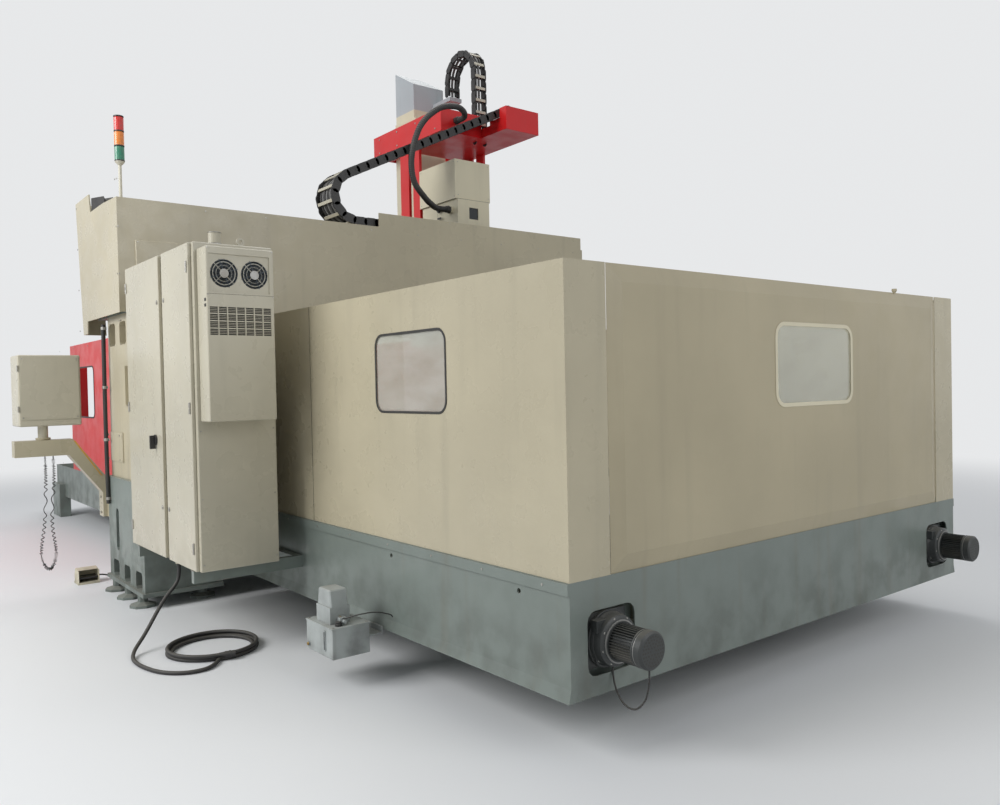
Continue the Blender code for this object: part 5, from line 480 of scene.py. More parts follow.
def post(shape, axis, span, first, second, radius, sides=20, end_radius=None):
    """A rod along an axis, from one place on it to another."""
    rod(shape, *(at(axis, along, first, second) for along in span), radius, sides, end_radius)


def posts(axis, first, second, *rows):
    """Rods on one line. A row gives start, end, radius, sides and maybe an end radius."""
    return [(post, axis, row[:2], first, second, *row[2:]) for row in rows]


def join_rings(shape, rings, closed=False):
    """Quads from ring to ring. An open row of rings gets a face on each end."""
    for first, second in zip(rings, rings[1:] + rings[:1] if closed else rings[1:]):
        for k in range(len(first)):
            n = (k + 1) % len(first)
            shape.faces.new((first[k], first[n], second[n], second[k]))
    if not closed:
        shape.faces.new(rings[0][::-1])
        shape.faces.new(rings[-1])


def plain_mesh(name, shape):
    bmesh.ops.recalc_face_normals(shape, faces=shape.faces)
    mesh = bpy.data.meshes.new(name)
    shape.to_mesh(mesh)
    shape.free()
    mesh.shade_smooth()
    mesh.set_sharp_from_angle(angle=math.radians(SHARP_ANGLE))
    return mesh


def to_piece(name, mesh, look, body="machine"):
    item = bpy.data.objects.new(name, mesh)
    scene.collection.objects.link(item)
    mesh.materials.clear()
    mesh.materials.append(finish[look])
    if body:
        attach(item, body)
    return item


def soften(item, width, angle):
    step = item.modifiers.new("soften", "BEVEL")
    step.width, step.segments, step.limit_method, step.angle_limit = width, 2, "ANGLE", math.radians(angle)


def piece(name, look, parts, body="machine", bevel=0.0):
    """One piece from rows that give a function and what it adds to the shape."""
    shape = bmesh.new()
    for add, *values in parts:
        add(shape, *values)
    item = to_piece(name, plain_mesh(name, shape), look, body)
    if bevel:
        soften(item, bevel, EDGE_ANGLE)
    return item


def smooth_path(points, spacing, steps=40):
    """Evenly spaced points on a smooth curve through a route's points."""
    dense, ends = [], [points[0], *points, points[-1]]
    for before, start, end, after in zip(ends, ends[1:], ends[2:], ends[3:]):
        p0, p1, p2, p3 = (Vector(p) for p in (before, start, end, after))
        for t in (step / steps for step in range(steps)):
            dense.append(0.5 * (2 * p1 + (p2 - p0) * t + (2 * p0 - 5 * p1 + 4 * p2 - p3) * t ** 2
                                + (3 * p1 - p0 - 3 * p2 + p3) * t ** 3))
    dense.append(Vector(points[-1]))
    path = [dense[0]]
    for point in dense[1:-1]:
        if (point - path[-1]).length >= spacing:
            path.append(point)
    if (dense[-1] - path[-1]).length < spacing / 2:
        path.pop()
    return path + [dense[-1]]


def kept_above(path, lowest):
    """The same path, with no point lower than a cord's radius above the floor."""
    return [Vector((point.x, point.y, max(point.z, lowest))) for point in path]


def path_length(path):
    return sum((b - a).length for a, b in zip(path, path[1:]))


def direction(path, index):
    return (path[min(index + 1, len(path) - 1)] - path[max(index - 1, 0)]).normalized()


def sweep(shape, path, radius, sides=12):
    """Closed tube along a path. radius is a number, or a function of the ring's index."""
    path = [Vector(point) for point in path]
    normal, rings = direction(path, 0).orthogonal(), []
    for index, point in enumerate(path):
        along = direction(path, index)
        normal = (normal - along * normal.dot(along)).normalized()
        side = along.cross(normal)
        size = radius(index) if callable(radius) else radius
        rings.append([shape.verts.new(point + normal * u + side * v)
                      for u, v in circle(0, 0, size, round_angles(sides))])
    join_rings(shape, rings)


def rounded_loop(u, v, radius, steps=6):
    corners = ((u[1] - radius, v[1] - radius), (u[0] + radius, v[1] - radius),
               (u[0] + radius, v[0] + radius), (u[1] - radius, v[0] + radius))
    return [point for quarter, corner in enumerate(corners)
            for point in circle(*corner, radius, [90 * (quarter + k / steps) for k in range(steps + 1)])]


def add_frame(shape, outer, inner, near, far, axis):
    """Flat ring between two loops with as many points, extruded along X or Y."""
    rings = ((outer, near), (outer, far), (inner, far), (inner, near))
    join_rings(shape, [[shape.verts.new(at(axis, depth, u, v)) for u, v in loop] for loop, depth in rings],
               True)


# %% [markdown]
# ## Patterns with Geometry Nodes
# Dozens of equal screw heads are a pattern, so a node tree places one head on each point of a list.
# Chain links, fins and slats are copies of a small mesh instead, and an attribute on each point turns them.

# %% Trees that put a head or a part on points
def instance_tree(name, **inputs):
    """A tree that puts one thing on every point. What it is and how it turns is wired by the caller."""
    tree = bpy.data.node_groups.new(name, "GeometryNodeTree")
    keys = {label: tree.interface.new_socket(label, in_out="INPUT",
                                             socket_type="NodeSocket" + kind).identifier
            for label, kind in {"Geometry": "Geometry", **inputs, "Material": "Material"}.items()}
    tree.interface.new_socket("Geometry", in_out="OUTPUT", socket_type="NodeSocketGeometry")
    given, out = tree.nodes.new("NodeGroupInput").outputs, tree.nodes.new("NodeGroupOutput").inputs
    put, real, dress = (tree.nodes.new("GeometryNode" + kind)
                        for kind in ("InstanceOnPoints", "RealizeInstances", "SetMaterial"))
    for source, target in ((given["Geometry"], put.inputs["Points"]), (put.outputs[0], real.inputs[0]),
                           (real.outputs[0], dress.inputs["Geometry"]),
                           (given["Material"], dress.inputs["Material"]),
                           (dress.outputs[0], out["Geometry"])):
        tree.links.new(source, target)
    return tree, keys, given, put.inputs


def grow(name, base, tree, keys, values, look, body):
    """Run a tree on a base mesh and keep its result as a plain mesh."""
    carrier = bpy.data.objects.new(name + "_base", base)
    scene.collection.objects.link(carrier)
    step = carrier.modifiers.new("grow", "NODES")
    step.node_group = tree
    for label, value in {**values, "Material": finish[look]}.items():
        step[keys[label]] = value
    bpy.context.view_layer.update()
    mesh = bpy.data.meshes.new_from_object(carrier.evaluated_get(bpy.context.evaluated_depsgraph_get()))
    mesh.name = name
    bpy.data.objects.remove(carrier, do_unlink=True)
    return to_piece(name, mesh, look, body)


def point_mesh(name, points):
    base = bpy.data.meshes.new(name)
    base.from_pydata([tuple(point) for point in points], [], [])
    return base


heads_tree, heads_keys, given, put = instance_tree("screw_heads", Radius="Float", Height="Float",
                                                   Sides="Int", Facing="Vector")
head = add_node(heads_tree, "GeometryNodeMeshCylinder", fill_type="NGON")
aim = add_node(heads_tree, "FunctionNodeAlignRotationToVector", axis="Z")
for source, target in ((given["Radius"], head.inputs["Radius"]), (given["Height"], head.inputs["Depth"]),
                       (given["Sides"], head.inputs["Vertices"]), (given["Facing"], aim.inputs["Vector"]),
                       (head.outputs["Mesh"], put["Instance"]), (aim.outputs[0], put["Rotation"])):
    heads_tree.links.new(source, target)

copies_tree, copies_keys, given, put = instance_tree("copies_on_path", Part="Object")
part = add_node(copies_tree, "GeometryNodeObjectInfo")
turn = add_node(copies_tree, "GeometryNodeInputNamedAttribute", data_type="FLOAT_VECTOR")
turn.inputs["Name"].default_value = "turn"
turned = add_node(copies_tree, "FunctionNodeEulerToRotation")
for source, target in ((given["Part"], part.inputs["Object"]), (part.outputs["Geometry"], put["Instance"]),
                       (turn.outputs["Attribute"], turned.inputs[0]), (turned.outputs[0], put["Rotation"])):
    copies_tree.links.new(source, target)


def screw_heads(name, points, facing, radius, height, body="machine", sides=12):
    """Heads that look along an axis, given as +X, -Y or +Z."""
    turn = at(facing[1], 1 if facing[0] == "+" else -1, 0, 0)
    values = {"Radius": radius, "Height": height, "Sides": sides, "Facing": turn}
    item = grow(name, point_mesh(name, points), heads_tree, heads_keys, values, "zinc_screw", body)
    soften(item, height * HEAD_BEVEL_SHARE, HEAD_EDGE_ANGLE)


def screw_grid(name, facing, along, firsts, seconds, radius, height, body="machine", sides=12):
    """Heads where rows and columns cross on a flat face."""
    points = [at(facing[1], along, first, second) for first in firsts for second in seconds]
    screw_heads(name, points, facing, radius, height, body, sides)


def copies(name, parts, places, turns, look, body=None):
    """Copies of one small shape as one mesh, at places with Euler turns, or with None for unturned ones."""
    shape = bmesh.new()
    for add, *values in parts:
        add(shape, *values)
    pattern = bpy.data.objects.new(name + "_part", plain_mesh(name + "_part", shape))
    scene.collection.objects.link(pattern)
    base = point_mesh(name, places)
    attribute = base.attributes.new("turn", "FLOAT_VECTOR", "POINT")
    for index, angles in enumerate(turns or [(0, 0, 0)] * len(places)):
        attribute.data[index].vector = angles
    item = grow(name, base, copies_tree, copies_keys, {"Part": pattern}, look, body)
    bpy.data.objects.remove(pattern, do_unlink=True)
    return item


# %% [markdown]
# ## Free cords
# The mains cord drops from its gland, runs over the floor and ends in a loose flat coil. Its centreline
# repeats the CAD route, then winds three turns inside the coil's envelope. The connector lies on the coil.

# %% Mains cord
CORD_RADIUS, CORD_REST = 0.011, 0.0113
GLAND_X, GLAND_Y = 1.665, -2.27
COIL_X, COIL_Y, COIL_RADIUS, LANE = 2.02, -2.2, 0.235, 0.012
cord_points = [(GLAND_X, GLAND_Y, 0.4594), (GLAND_X, GLAND_Y, 0.4), (1.67, -2.29, 0.34), (1.7, -2.38, 0.25),
               (1.76, -2.5, 0.1), (1.84, -2.585, 0.03), (1.96, -2.62, CORD_REST), (2.12, -2.61, CORD_REST),
               (2.27, -2.56, CORD_REST), (2.36, -2.47, CORD_REST), (2.375, -2.37, CORD_REST),
               (2.33, -2.3, 0.0125)]
TURNS, PER_TURN = 3, 36
# The cord crosses to the inner lane from one share of the winding, and out again, on top, from another.
INWARD, OUTWARD, CROSSING, TOP_LANE = 0.26, 0.6, 0.08, 0.011
WOBBLE, TOP_LIFT, LIFT_SHARE = 0.002, 0.0225, 0.06
start_angle = math.degrees(math.atan2(-2.255 - COIL_Y, 2.3 - COIL_X))
for share in (step / (TURNS * PER_TURN) for step in range(TURNS * PER_TURN + 1)):
    angle = start_angle + 360 * TURNS * share
    if INWARD < share < INWARD + CROSSING:
        offset = LANE - 2 * LANE * (share - INWARD) / CROSSING
    elif OUTWARD < share < OUTWARD + CROSSING:
        offset = -LANE + (LANE + TOP_LANE) * (share - OUTWARD) / CROSSING
    else:
        offset = LANE if share <= INWARD else -LANE if share <= OUTWARD else TOP_LANE
        offset += WOBBLE * math.sin(math.radians(3 * angle))
    du, dv = polar(COIL_RADIUS + offset, angle)
    lift = TOP_LIFT * min(1.0, max(0.0, share - OUTWARD) / LIFT_SHARE)
    cord_points.append((COIL_X + du, COIL_Y + dv, CORD_REST + lift))
mains_path = kept_above(smooth_path(cord_points, CORD_RADIUS * 1.2), CORD_RADIUS + 0.0003)
mains_cord = piece("mains_cord", "black_rubber", [(sweep, mains_path, CORD_RADIUS)])
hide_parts("power_cord", "power_cord_coil")
plug_start = Vector(mains_path[-1])
plug_along = (plug_start - Vector(mains_path[-4])).normalized()
connector = piece("cord_connector", "black_plastic", [
    (rod, plug_start + plug_along * near, plug_start + plug_along * far, radius, 20, end_radius)
    for near, far, radius, end_radius in ((-0.004, 0.03, 0.0125, 0.016), (0.028, 0.085, 0.0175, None),
                                          (0.05, 0.06, 0.0195, None))], bevel=0.0012)
print("mains cord:", round(path_length(mains_path), 2), "m")

# %% [markdown]
# The handwheel's lead is a curly cord: a helix that hangs in a long loop under the pendant arm.
# Its helix follows the same centreline as the CAD tube, and its real length is that of the wound wire.

# %% Curly cord and foot switch cord
HELIX_RADIUS, WIRE_RADIUS, HELIX_PITCH, STRAIGHT_END = 0.0105, 0.0034, 0.0085, 0.03
loop_points = [(-0.17, y, z) for y, z in (
    (-2.6, 1.0444), (-2.6, 0.85), (-2.62, 0.55), (-2.6, 0.3), (-2.645, 0.19), (-2.7, 0.3), (-2.67, 0.55),
    (-2.655, 0.85), (-2.655, 1.0444))]
centre = smooth_path(loop_points, 0.0011)
helix, run, total = [], 0.0, path_length(centre)
side_axis = Vector((1, 0, 0))
for index, point in enumerate(centre):
    if index:
        run += (point - centre[index - 1]).length
    across = direction(centre, index).cross(side_axis).normalized()
    size = HELIX_RADIUS * min(1.0, run / STRAIGHT_END, (total - run) / STRAIGHT_END)
    u, v = polar(size, 360 * run / HELIX_PITCH)
    helix.append(point + side_axis * u + across * v)
curly = piece("curly_cord", "black_rubber", [(sweep, helix, WIRE_RADIUS, 6)])
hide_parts("handwheel_cord")
foot_points = [(-0.44, -2.2634, 0.04), (-0.44, -2.2134, 0.04), (-0.4, -2.12, 0.012), (-0.3, -2.07, 0.0063),
               (-0.2, -2.12, 0.0063), (-0.15, -2.18, 0.05), (-0.1306, -2.2, 0.101), (-0.1006, -2.2, 0.101)]
FOOT_RADIUS = 0.006
foot_path = kept_above(smooth_path(foot_points, FOOT_RADIUS * 2), FOOT_RADIUS + 0.0003)
foot_cord = piece("foot_cord", "black_rubber", [(sweep, foot_path, FOOT_RADIUS, 10)])
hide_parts("foot_switch_cord")
print("curly cord:", round(path_length(helix), 2), "m, foot cord:", round(path_length(foot_path), 2), "m")


# %% [markdown]
# ## Cable chains
# A cable chain is one moulded link repeated: two side plates that lap their neighbours, and crossbars
# between. The whole chain is baked into fixed meshes.

# %% Links on a path
def add_stadium(shape, start, end, radius, low_y, high_y, steps=8):
    """Flat link plate: two round ends joined, in the XZ plane, between two Y values."""
    outline = circle(end, 0, radius, spread(-90, 90, steps))
    outline += circle(start, 0, radius, spread(90, 270, steps))
    join_rings(shape, [[shape.verts.new((x, y, z)) for x, z in outline] for y in (low_y, high_y)])


def chain(prefix, joints, side, width, height, plate, cables, node):
    """Links, crossbars and cables on a chain's joints. side is the axis the links turn about."""
    joints = [Vector(joint) for joint in joints]
    side = Vector(side)
    pitch = (joints[1] - joints[0]).length
    places, turns = [], []
    for first, second in zip(joints, joints[1:]):
        along = (second - first).normalized()
        outward = side.cross(along)
        places.append((first + second) / 2)
        turns.append(tuple(Matrix((along, outward.cross(along), outward)).transposed().to_euler()))
    half, radius = width / 2, height / 2
    plates = []
    for hand in (-1, 1):
        outer, middle_y, inner = hand * half, hand * (half - plate), hand * (half - 2 * plate)
        plates += [(add_stadium, -pitch * 0.1, pitch / 2, radius, *sorted((outer, middle_y))),
                   (add_stadium, -pitch / 2, pitch * 0.1, radius * 0.98,
                    *sorted((middle_y - hand * 0.0002, inner))),
                   (post, "Y", (hand * (half + 0.0015), middle_y), pitch / 2, 0, radius * 0.3, 12),
                   (post, "Y", (hand * (half + 0.001), middle_y), 0, radius * 0.45, radius * 0.12, 8)]
    reach = half - 2 * plate + 0.001
    plates.append((block, (-0.012, -reach, -radius + 0.001), (0.012, reach, -radius + 0.009)))
    bars = [(block, (-0.013, -reach, radius - 0.009), (0.013, reach, radius - 0.001))]
    made = [copies(prefix + "_links", plates, places, turns, "chain_plastic"),
            copies(prefix + "_bars", bars, places, turns, "bar_plastic")]
    smooth = smooth_path(joints, pitch / 8)
    for index, (offset, size, look) in enumerate(cables):
        lane = [point + side * offset + Vector((0, 0, 0.004)) * math.sin(9 * k / len(smooth) + index * 2)
                for k, point in enumerate(smooth)]
        made.append(piece(f"{prefix}_cable_{index}", look, [(sweep, lane, size, 10)], body=None))
    for item in made:
        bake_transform(item)
    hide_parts(node)


# %% Chain along the crossrail
CHAIN_X, CHAIN_PITCH, LOOP_RADIUS, LOOP_Y, RUN_Z, CLIMB = 0.351, 0.105, 0.205, -0.33, 2.9376, 26.0
joints = [(CHAIN_X, LOOP_Y + (15 - i) * CHAIN_PITCH, RUN_Z) for i in range(16)]
loop_links = max(3, round(math.radians(180 - CLIMB) * LOOP_RADIUS / CHAIN_PITCH))
joints += circle_points("X", CHAIN_X, LOOP_Y, RUN_Z + LOOP_RADIUS, LOOP_RADIUS,
                        [-90 - (180 - CLIMB) * step / loop_links for step in range(1, loop_links + 1)])
rise = Vector((0, *polar(1, CLIMB)))
joints += [tuple(Vector(joints[-1]) + rise * CHAIN_PITCH * step) for step in range(1, 20)]
LANES = ((-0.105, 0.013), (-0.07, 0.01), (-0.038, 0.014), (0.0, 0.012), (0.036, 0.01), (0.068, 0.013),
         (0.104, 0.011))
lanes = [(*lane, "grey_cable" if index % 2 else "black_rubber") for index, lane in enumerate(LANES)]
chain("crossrail_chain", joints, (1, 0, 0), 0.29, 0.076, 0.009, lanes,
      "crossrail_cable_chain")

# %% Chain down to the ram
FOOT_X, FOOT_Z, TOP_Z, TURN_RADIUS, RAM_CHAIN_Y = 0.06, 3.9743, 4.7, 0.23, 1.345
TURN_X = FOOT_X - TURN_RADIUS
joints = [(FOOT_X, RAM_CHAIN_Y, z) for z in spread(FOOT_Z, TOP_Z, 7)]
joints += circle_points("Y", RAM_CHAIN_Y, TURN_X, TOP_Z, TURN_RADIUS,
                        [180 * step / 6 for step in range(1, 7)])
joints.append((TURN_X - TURN_RADIUS, RAM_CHAIN_Y, 4.5403 + 0.03))
chain("ram_chain", joints, (0, 1, 0), 0.15, 0.06, 0.007,
      [(-0.036, 0.011, "black_rubber"), (0.0, 0.013, "grey_cable"), (0.038, 0.01, "black_rubber")],
      "ram_cable_chain")

# %% [markdown]
# ## Bellows and conduits
# The bellows keep chips off the crossrail's guideways. Each fold is coated cloth over a stiff frame, so the
# ridges are crisp and the valleys soft.

# %% Bellows
FOLD_DEPTH, RAIL_TOP_Z, BLEND_Z = 0.036, 2.8985, 2.96


def folds(shape, start, end, count, per_fold=8):
    rings = []
    for index in range(count * per_fold + 1):
        sink = FOLD_DEPTH * (1 - abs(index / per_fold % 1.0 - 0.5) * 2) ** 0.8
        y = start + (end - start) * index / (count * per_fold)
        profile = ((-0.22 + sink, RAIL_TOP_Z), (-0.22 + sink, 3.018 - sink), (-0.212 + sink, 3.026 - sink),
                   (0.16 - sink, 2.972 - sink * 0.8), (0.168 - sink, 2.964 - sink),
                   (0.17 - sink, RAIL_TOP_Z))
        rings.append([shape.verts.new((x, y, z)) for x, z in profile])
    join_rings(shape, rings)


for node, start, end, count, bodies in (("left_bellows", -2.268, 0.7185, 46, ("machine", "saddle")),
                                        ("right_bellows", 1.7215, 2.268, 10, ("saddle", "machine"))):
    cloth = piece(node + "_cloth", "bellows_cloth", [(folds, start, end, count)], body=None)
    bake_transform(cloth)
    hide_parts(node)

# %% Corrugated conduits
HOSE_Y = -2.2563
head_route = [(0.2006, 0.95, 4.09), (0.33, 0.95, 4.09), (0.46, 0.85, 4.095), (0.54, 0.7, 4.09),
              (0.555, 0.5, 4.03), (0.555, 0.3, 3.84), (0.555, 0.2, 3.56), (0.55, 0.22, 3.34),
              (0.51, 0.36, 3.215), (0.38, 0.52, 3.195), (0.29, 0.645, 3.1928), (0.29, 0.7844, 3.1928)]
conduit = piece("corrugated_conduit", "black_rubber", [
    (sweep, smooth_path(head_route, 0.0035), lambda ring: 0.0275 if ring % 3 else 0.0245, 16)], "saddle")
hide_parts("head_conduit")
piece("conduit_nuts", "black_plastic",
      posts("X", 0.95, 4.09, (0.201, 0.222, 0.038, 6), (0.222, 0.245, 0.032, 24))
      + posts("Y", 0.29, 3.1928, (0.7845, 0.764, 0.038, 6), (0.764, 0.742, 0.032, 24)), "saddle",
      bevel=0.0012)
column_route = [(x, HOSE_Y, z)
                for x, z in ((-0.02, 2.03), (-0.03, 1.7), (-0.035, 1.3), (-0.03, 0.95), (-0.02, 0.66))]
hose = piece("column_hose", "black_rubber", [
    (sweep, smooth_path(column_route, 0.004), lambda ring: 0.016 if ring % 2 else 0.0145, 14)])
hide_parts("column_conduit")
clamps = []
for x, z in ((-0.0205, 2.0), (-0.033, 1.55), (-0.034, 1.15), (-0.021, 0.7)):
    clamps += [(post, "Z", (z - 0.011, z + 0.011), x, HOSE_Y, 0.0185, 16),
               (block, (x - 0.034, -2.2425, z - 0.011), (x + 0.034, -2.24, z + 0.011))]
piece("hose_clamps", "zinc_screw", clamps, bevel=0.001)

# %% [markdown]
# ## Gearmotors
# Each chip screw is driven by a geared motor: a cast gear case on a flange, a finned stator to shed heat,
# and a fan cover with air holes at the end. The fins are one thin slat copied round the axis.

# %% Gearmotors
MOTOR_Y, MOTOR_Z, FINS, SQUARE = 1.44, 0.46, 40, (45, 135, 225, 315)
CASE_STEPS = ((4.469, 4.486, 0.12, 0.12), (4.486, 4.5, 0.112, 0.108), (4.5, 4.536, 0.108, 0.104),
              (4.536, 4.545, 0.104, 0.09), (4.545, 4.553, 0.083, 0.083), (4.553, 4.672, 0.0605, 0.0605),
              (4.668, 4.677, 0.0765, 0.0765), (4.679, 4.683, 0.074, 0.074), (4.683, 4.712, 0.0768, 0.0768),
              (4.712, 4.72, 0.0768, 0.068))
AIR_HOLE_SHADE = ((0.016, 6), (0.03, 12), (0.044, 18), (0.057, 24))


def gearmotor(prefix, y, z, node):
    steps = ((start, end + 0.0002, radius, 48, end_radius) for start, end, radius, end_radius in CASE_STEPS)
    parts = posts("X", y, z, *steps, (4.676, 4.684, 0.07, 48))
    parts += [(post, "X", (4.469, 4.496), *lug, 0.02, 16, 0.017) for lug in circle(y, z, 0.1, SQUARE)]
    parts += [(block, (4.4553, y - 0.112, z - 0.112), (4.4705, y + 0.112, z + 0.112)),
              (block, (4.486, y - 0.104, z + 0.045), (4.52, y - 0.045, z + 0.094))]
    case = piece(prefix + "_case", "motor_paint", parts, bevel=0.0014)
    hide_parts(node)
    copies(prefix + "_fins", [(block, (-0.0575, -0.0011, 0.058), (0.0575, 0.0011, 0.0752))],
           [(4.6115, y, z)] * FINS, [(2 * math.pi * k / FINS, 0, 0) for k in range(FINS)], "motor_paint",
           "machine")
    # Each air hole is a thin dark disc on the fan cover: painted shade for the hole's inside.
    spots = [spot for radius, count in AIR_HOLE_SHADE
             for spot in circle_points("X", 4.72, y, z, radius, round_angles(count))]
    copies(prefix + "_air_holes", posts("X", 0, 0, (-0.0005, 0.0006, 0.0042, 10)), spots, None,
           "seam_shadow", "machine")
    piece(prefix + "_bright_rings", "motor_silver",
          posts("X", y, z, (4.5455, 4.5515, 0.088, 40), (4.6785, 4.682, 0.0755, 40)), bevel=0.0006)
    screw_heads(prefix + "_flange_bolts", circle_points("X", 4.498, y, z, 0.1, SQUARE), "+X", 0.011, 0.008,
                sides=6)
    screw_heads(prefix + "_case_bolts", circle_points("X", 4.5385, y, z, 0.093, range(15, 375, 45)), "+X",
                0.0065, 0.007, sides=6)


gearmotor("left_motor", -MOTOR_Y, MOTOR_Z, "left_gearmotor")
gearmotor("right_motor", MOTOR_Y, MOTOR_Z, "right_gearmotor")
loop = smooth_path([(4.503, -1.44, 0.3525), (4.506, -1.443, 0.315), (4.53, -1.452, 0.265),
                    (4.58, -1.462, 0.222), (4.64, -1.462, 0.216), (4.685, -1.452, 0.262),
                    (4.698, -1.443, 0.33), (4.698, -1.44, 0.3835)], 0.006)
motor_wire = piece("motor_wire", "black_rubber", [(sweep, loop, 0.0038, 10)])

# %% [markdown]
# ## Cabinet and its air conditioner
# The cooler pulls shop air through two guarded fans and blows it out below. Its grille is stamped in cells,
# so one slat is copied over the panel, with a dark block behind each cell as painted shade. Each fan recess
# gets a dark lining as painted shade too.

# %% Air conditioner
FACE_X, FLOOR_X = 2.335, 2.327
FAN_YS, FAN_Z = (-2.188, -2.015), 2.15
GRILLE_Y, GRILLE_Z, CELL_Y, CELL_Z = -2.275, 1.81, 0.356 / 7, 0.161 / 4
guards, well_shade, hubs = [], [], []
for fan_y in FAN_YS:
    for radius in (0.0745, 0.0665, 0.0585, 0.0505, 0.0425, 0.0345):
        ring = circle_points("X", FLOOR_X + 0.0022, fan_y, FAN_Z, radius, spread(0, 360, 49))
        guards.append((sweep, ring, 0.0011, 6))
    for angle in (20, 110, 200, 290):
        spoke = [at("X", FLOOR_X + 0.0034, *circle(fan_y, FAN_Z, radius, [angle])[0])
                 for radius in (0.024, 0.082)]
        guards.append((sweep, spoke, 0.0014, 6))
    outer, inner = (circle(fan_y, FAN_Z, radius, round_angles(48)) for radius in (0.0776, 0.0771))
    well_shade += [*posts("X", fan_y, FAN_Z, (FLOOR_X - 0.0499, FLOOR_X - 0.0495, 0.0775, 40)),
              (add_frame, outer, inner, FLOOR_X - 0.0494, FLOOR_X - 0.0004, "X")]
    hubs += posts("X", fan_y, FAN_Z, (FLOOR_X - 0.001, FLOOR_X + 0.0045, 0.0255, 28),
                  (FLOOR_X + 0.004, FLOOR_X + 0.0052, 0.018, 28))
piece("fan_guards", "guard_wire", guards)
# Dark linings of the fan recesses, back disc and wall: painted shade.
piece("fan_wells", "seam_shadow", well_shade)
piece("guard_hubs", "motor_silver", hubs, bevel=0.001)
cells = [(GRILLE_Y + column * CELL_Y, GRILLE_Z + row * CELL_Z) for column in range(7) for row in range(4)]
# A dark block behind each grille cell: painted shade.
piece("grille_shadow", "seam_shadow", [
    (block, (FACE_X - 0.0102, y + 0.0004, z + 0.0004),
     (FACE_X - 0.008, y + CELL_Y - 0.0064, z + CELL_Z - 0.0064))
    for y, z in cells])
spots = [(FACE_X - 0.003, y + CELL_Y / 2 - 0.003, z + up_by) for y, z in cells
         for up_by in (0.0086, 0.0172, 0.0258)]
copies("grille_slats", [(block, (-0.003, -0.0224, -0.0011), (0.0016, 0.0224, 0.0011))], spots, None,
       "cabinet_paint", "machine")
piece("cooler_seams", "seam_shadow",
      [(block, (FACE_X - 0.0006, -2.29, 2.034), (FACE_X + 0.0003, -1.905, 2.0356))])
piece("cooler_latches", "black_plastic", [
    (block, (2.3, -2.2925, z), (2.322, -2.2895, z + 0.017)) for z in (1.995, 1.965)], bevel=0.0012)
print("air conditioner done")

# %% Cabinet doors, hinges and top
for prefix, hinge_x, lock_x, body in (("far_door", 0.925, 1.585, "far_cabinet_door"),
                                      ("near_door", 2.14, 1.715, "near_cabinet_door")):
    piece(prefix + "_hinges", "zinc_screw", [
        (post, "Z", (z + low, z + high), hinge_x, -2.3335, 0.0065, 16) for z in (0.62, 1.41, 2.2)
        for low, high in ((-0.032, -0.001), (0.001, 0.032))], body, bevel=0.0008)
    piece(prefix + "_quarter_turns", "zinc_screw", [
        (post, "Y", span, lock_x, z, radius, sides) for z in (0.8, 2.05)
        for span, radius, sides in (((-2.33, -2.3335), 0.0135, 28), ((-2.333, -2.3352), 0.006, 6))],
        body, bevel=0.0006)
piece("door_gap_seal", "black_rubber", [(block, (1.6155, -2.3095, 0.5), (1.6845, -2.3088, 2.325))])
piece("vent_cap", "motor_silver",
      posts("Z", 2.12, -2.16, (2.405, 2.4085, 0.0385, 28), (2.336, 2.345, 0.04, 28)), bevel=0.001)
pads = []
for x in (1.02, 2.08):
    pads += [(block, (x, -2.334, 0.4905), (x + 0.04, -2.3302, 0.4935)),
             (block, (x - 0.0006, -2.2, 0.4195), (x + 0.0406, -2.1, 0.4215))]
piece("stand_pads", "zinc_screw", pads, bevel=0.0008)
piece("cord_gland", "black_plastic",
      posts("Z", GLAND_X, GLAND_Y, (0.4895, 0.478, 0.0215, 6), (0.478, 0.4595, 0.0165, 20, 0.013)),
      bevel=0.001)

# %% [markdown]
# ## Guards and windows
# Sheet guards are folded boxes, so they show seams, screws and gaskets. A window pane sits in a profile that
# grips both the sheet and the pane, which is why its outline is round-cornered.

# %% Window gaskets and panel seams
CORNER_RADIUS, GRIP = 0.06, 0.004


def gasket(name, look, axis, span_u, span_v, face, outward, width, proud):
    outer, inner = (rounded_loop((span_u[0] - by, span_u[1] + by), (span_v[0] - by, span_v[1] + by),
                                 CORNER_RADIUS + by)
                    for by in (width, -GRIP))
    piece(name, look, [(add_frame, outer, inner, face, face + outward * proud, axis)], bevel=0.0012)


gasket("side_window_gasket", "black_rubber", "Y", (3.06, 3.69), (1.38, 1.77), -1.6711, -1, 0.008, 0.003)
gasket("end_window_gasket", "cream_sheet", "X", (-0.27, 0.42), (1.38, 1.77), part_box("end_panel")[1].x, 1,
       0.016, 0.003)
for hand, label in ((-1, "left"), (1, "right")):
    gasket(f"front_{label}_gasket", "black_rubber", "Y", (-3.8, -2.95), (1.25, 1.8), hand * 1.6712, hand,
           0.012, 0.004)
piece("side_panel_seams", "seam_shadow", [
    (block, (2.289, low, 0.724), (2.2912, high, 1.989))
    for low, high in ((-1.6713, -1.6706), (1.6706, 1.6713))])

# %% [markdown]
# ## Pendant and its arm
# The control box hangs from a swivel at the arm's tip, so the operator can turn it. Its back lid is hinged
# and held by corner screws, and a bright strip marks the arm's low diagonal.

# %% Pendant details
piece("pendant_lid", "cabinet_paint", [(block, (-0.1163, -2.8105, 1.3225), (-0.115, -2.4195, 1.786))],
      "pendant", bevel=0.0008)
piece("pendant_lid_hinges", "zinc_screw", [
    (post, "Z", (z - 0.022, z + 0.022), -0.118, -2.8275, 0.0055, 14) for z in (1.4, 1.7)], "pendant",
    bevel=0.0006)
piece("swivel_flange", "beige_casting",
      posts("Z", -0.19, -2.66, (1.166, 1.182, 0.05, 32), (1.172, 1.176, 0.0525, 32)), bevel=0.0015)


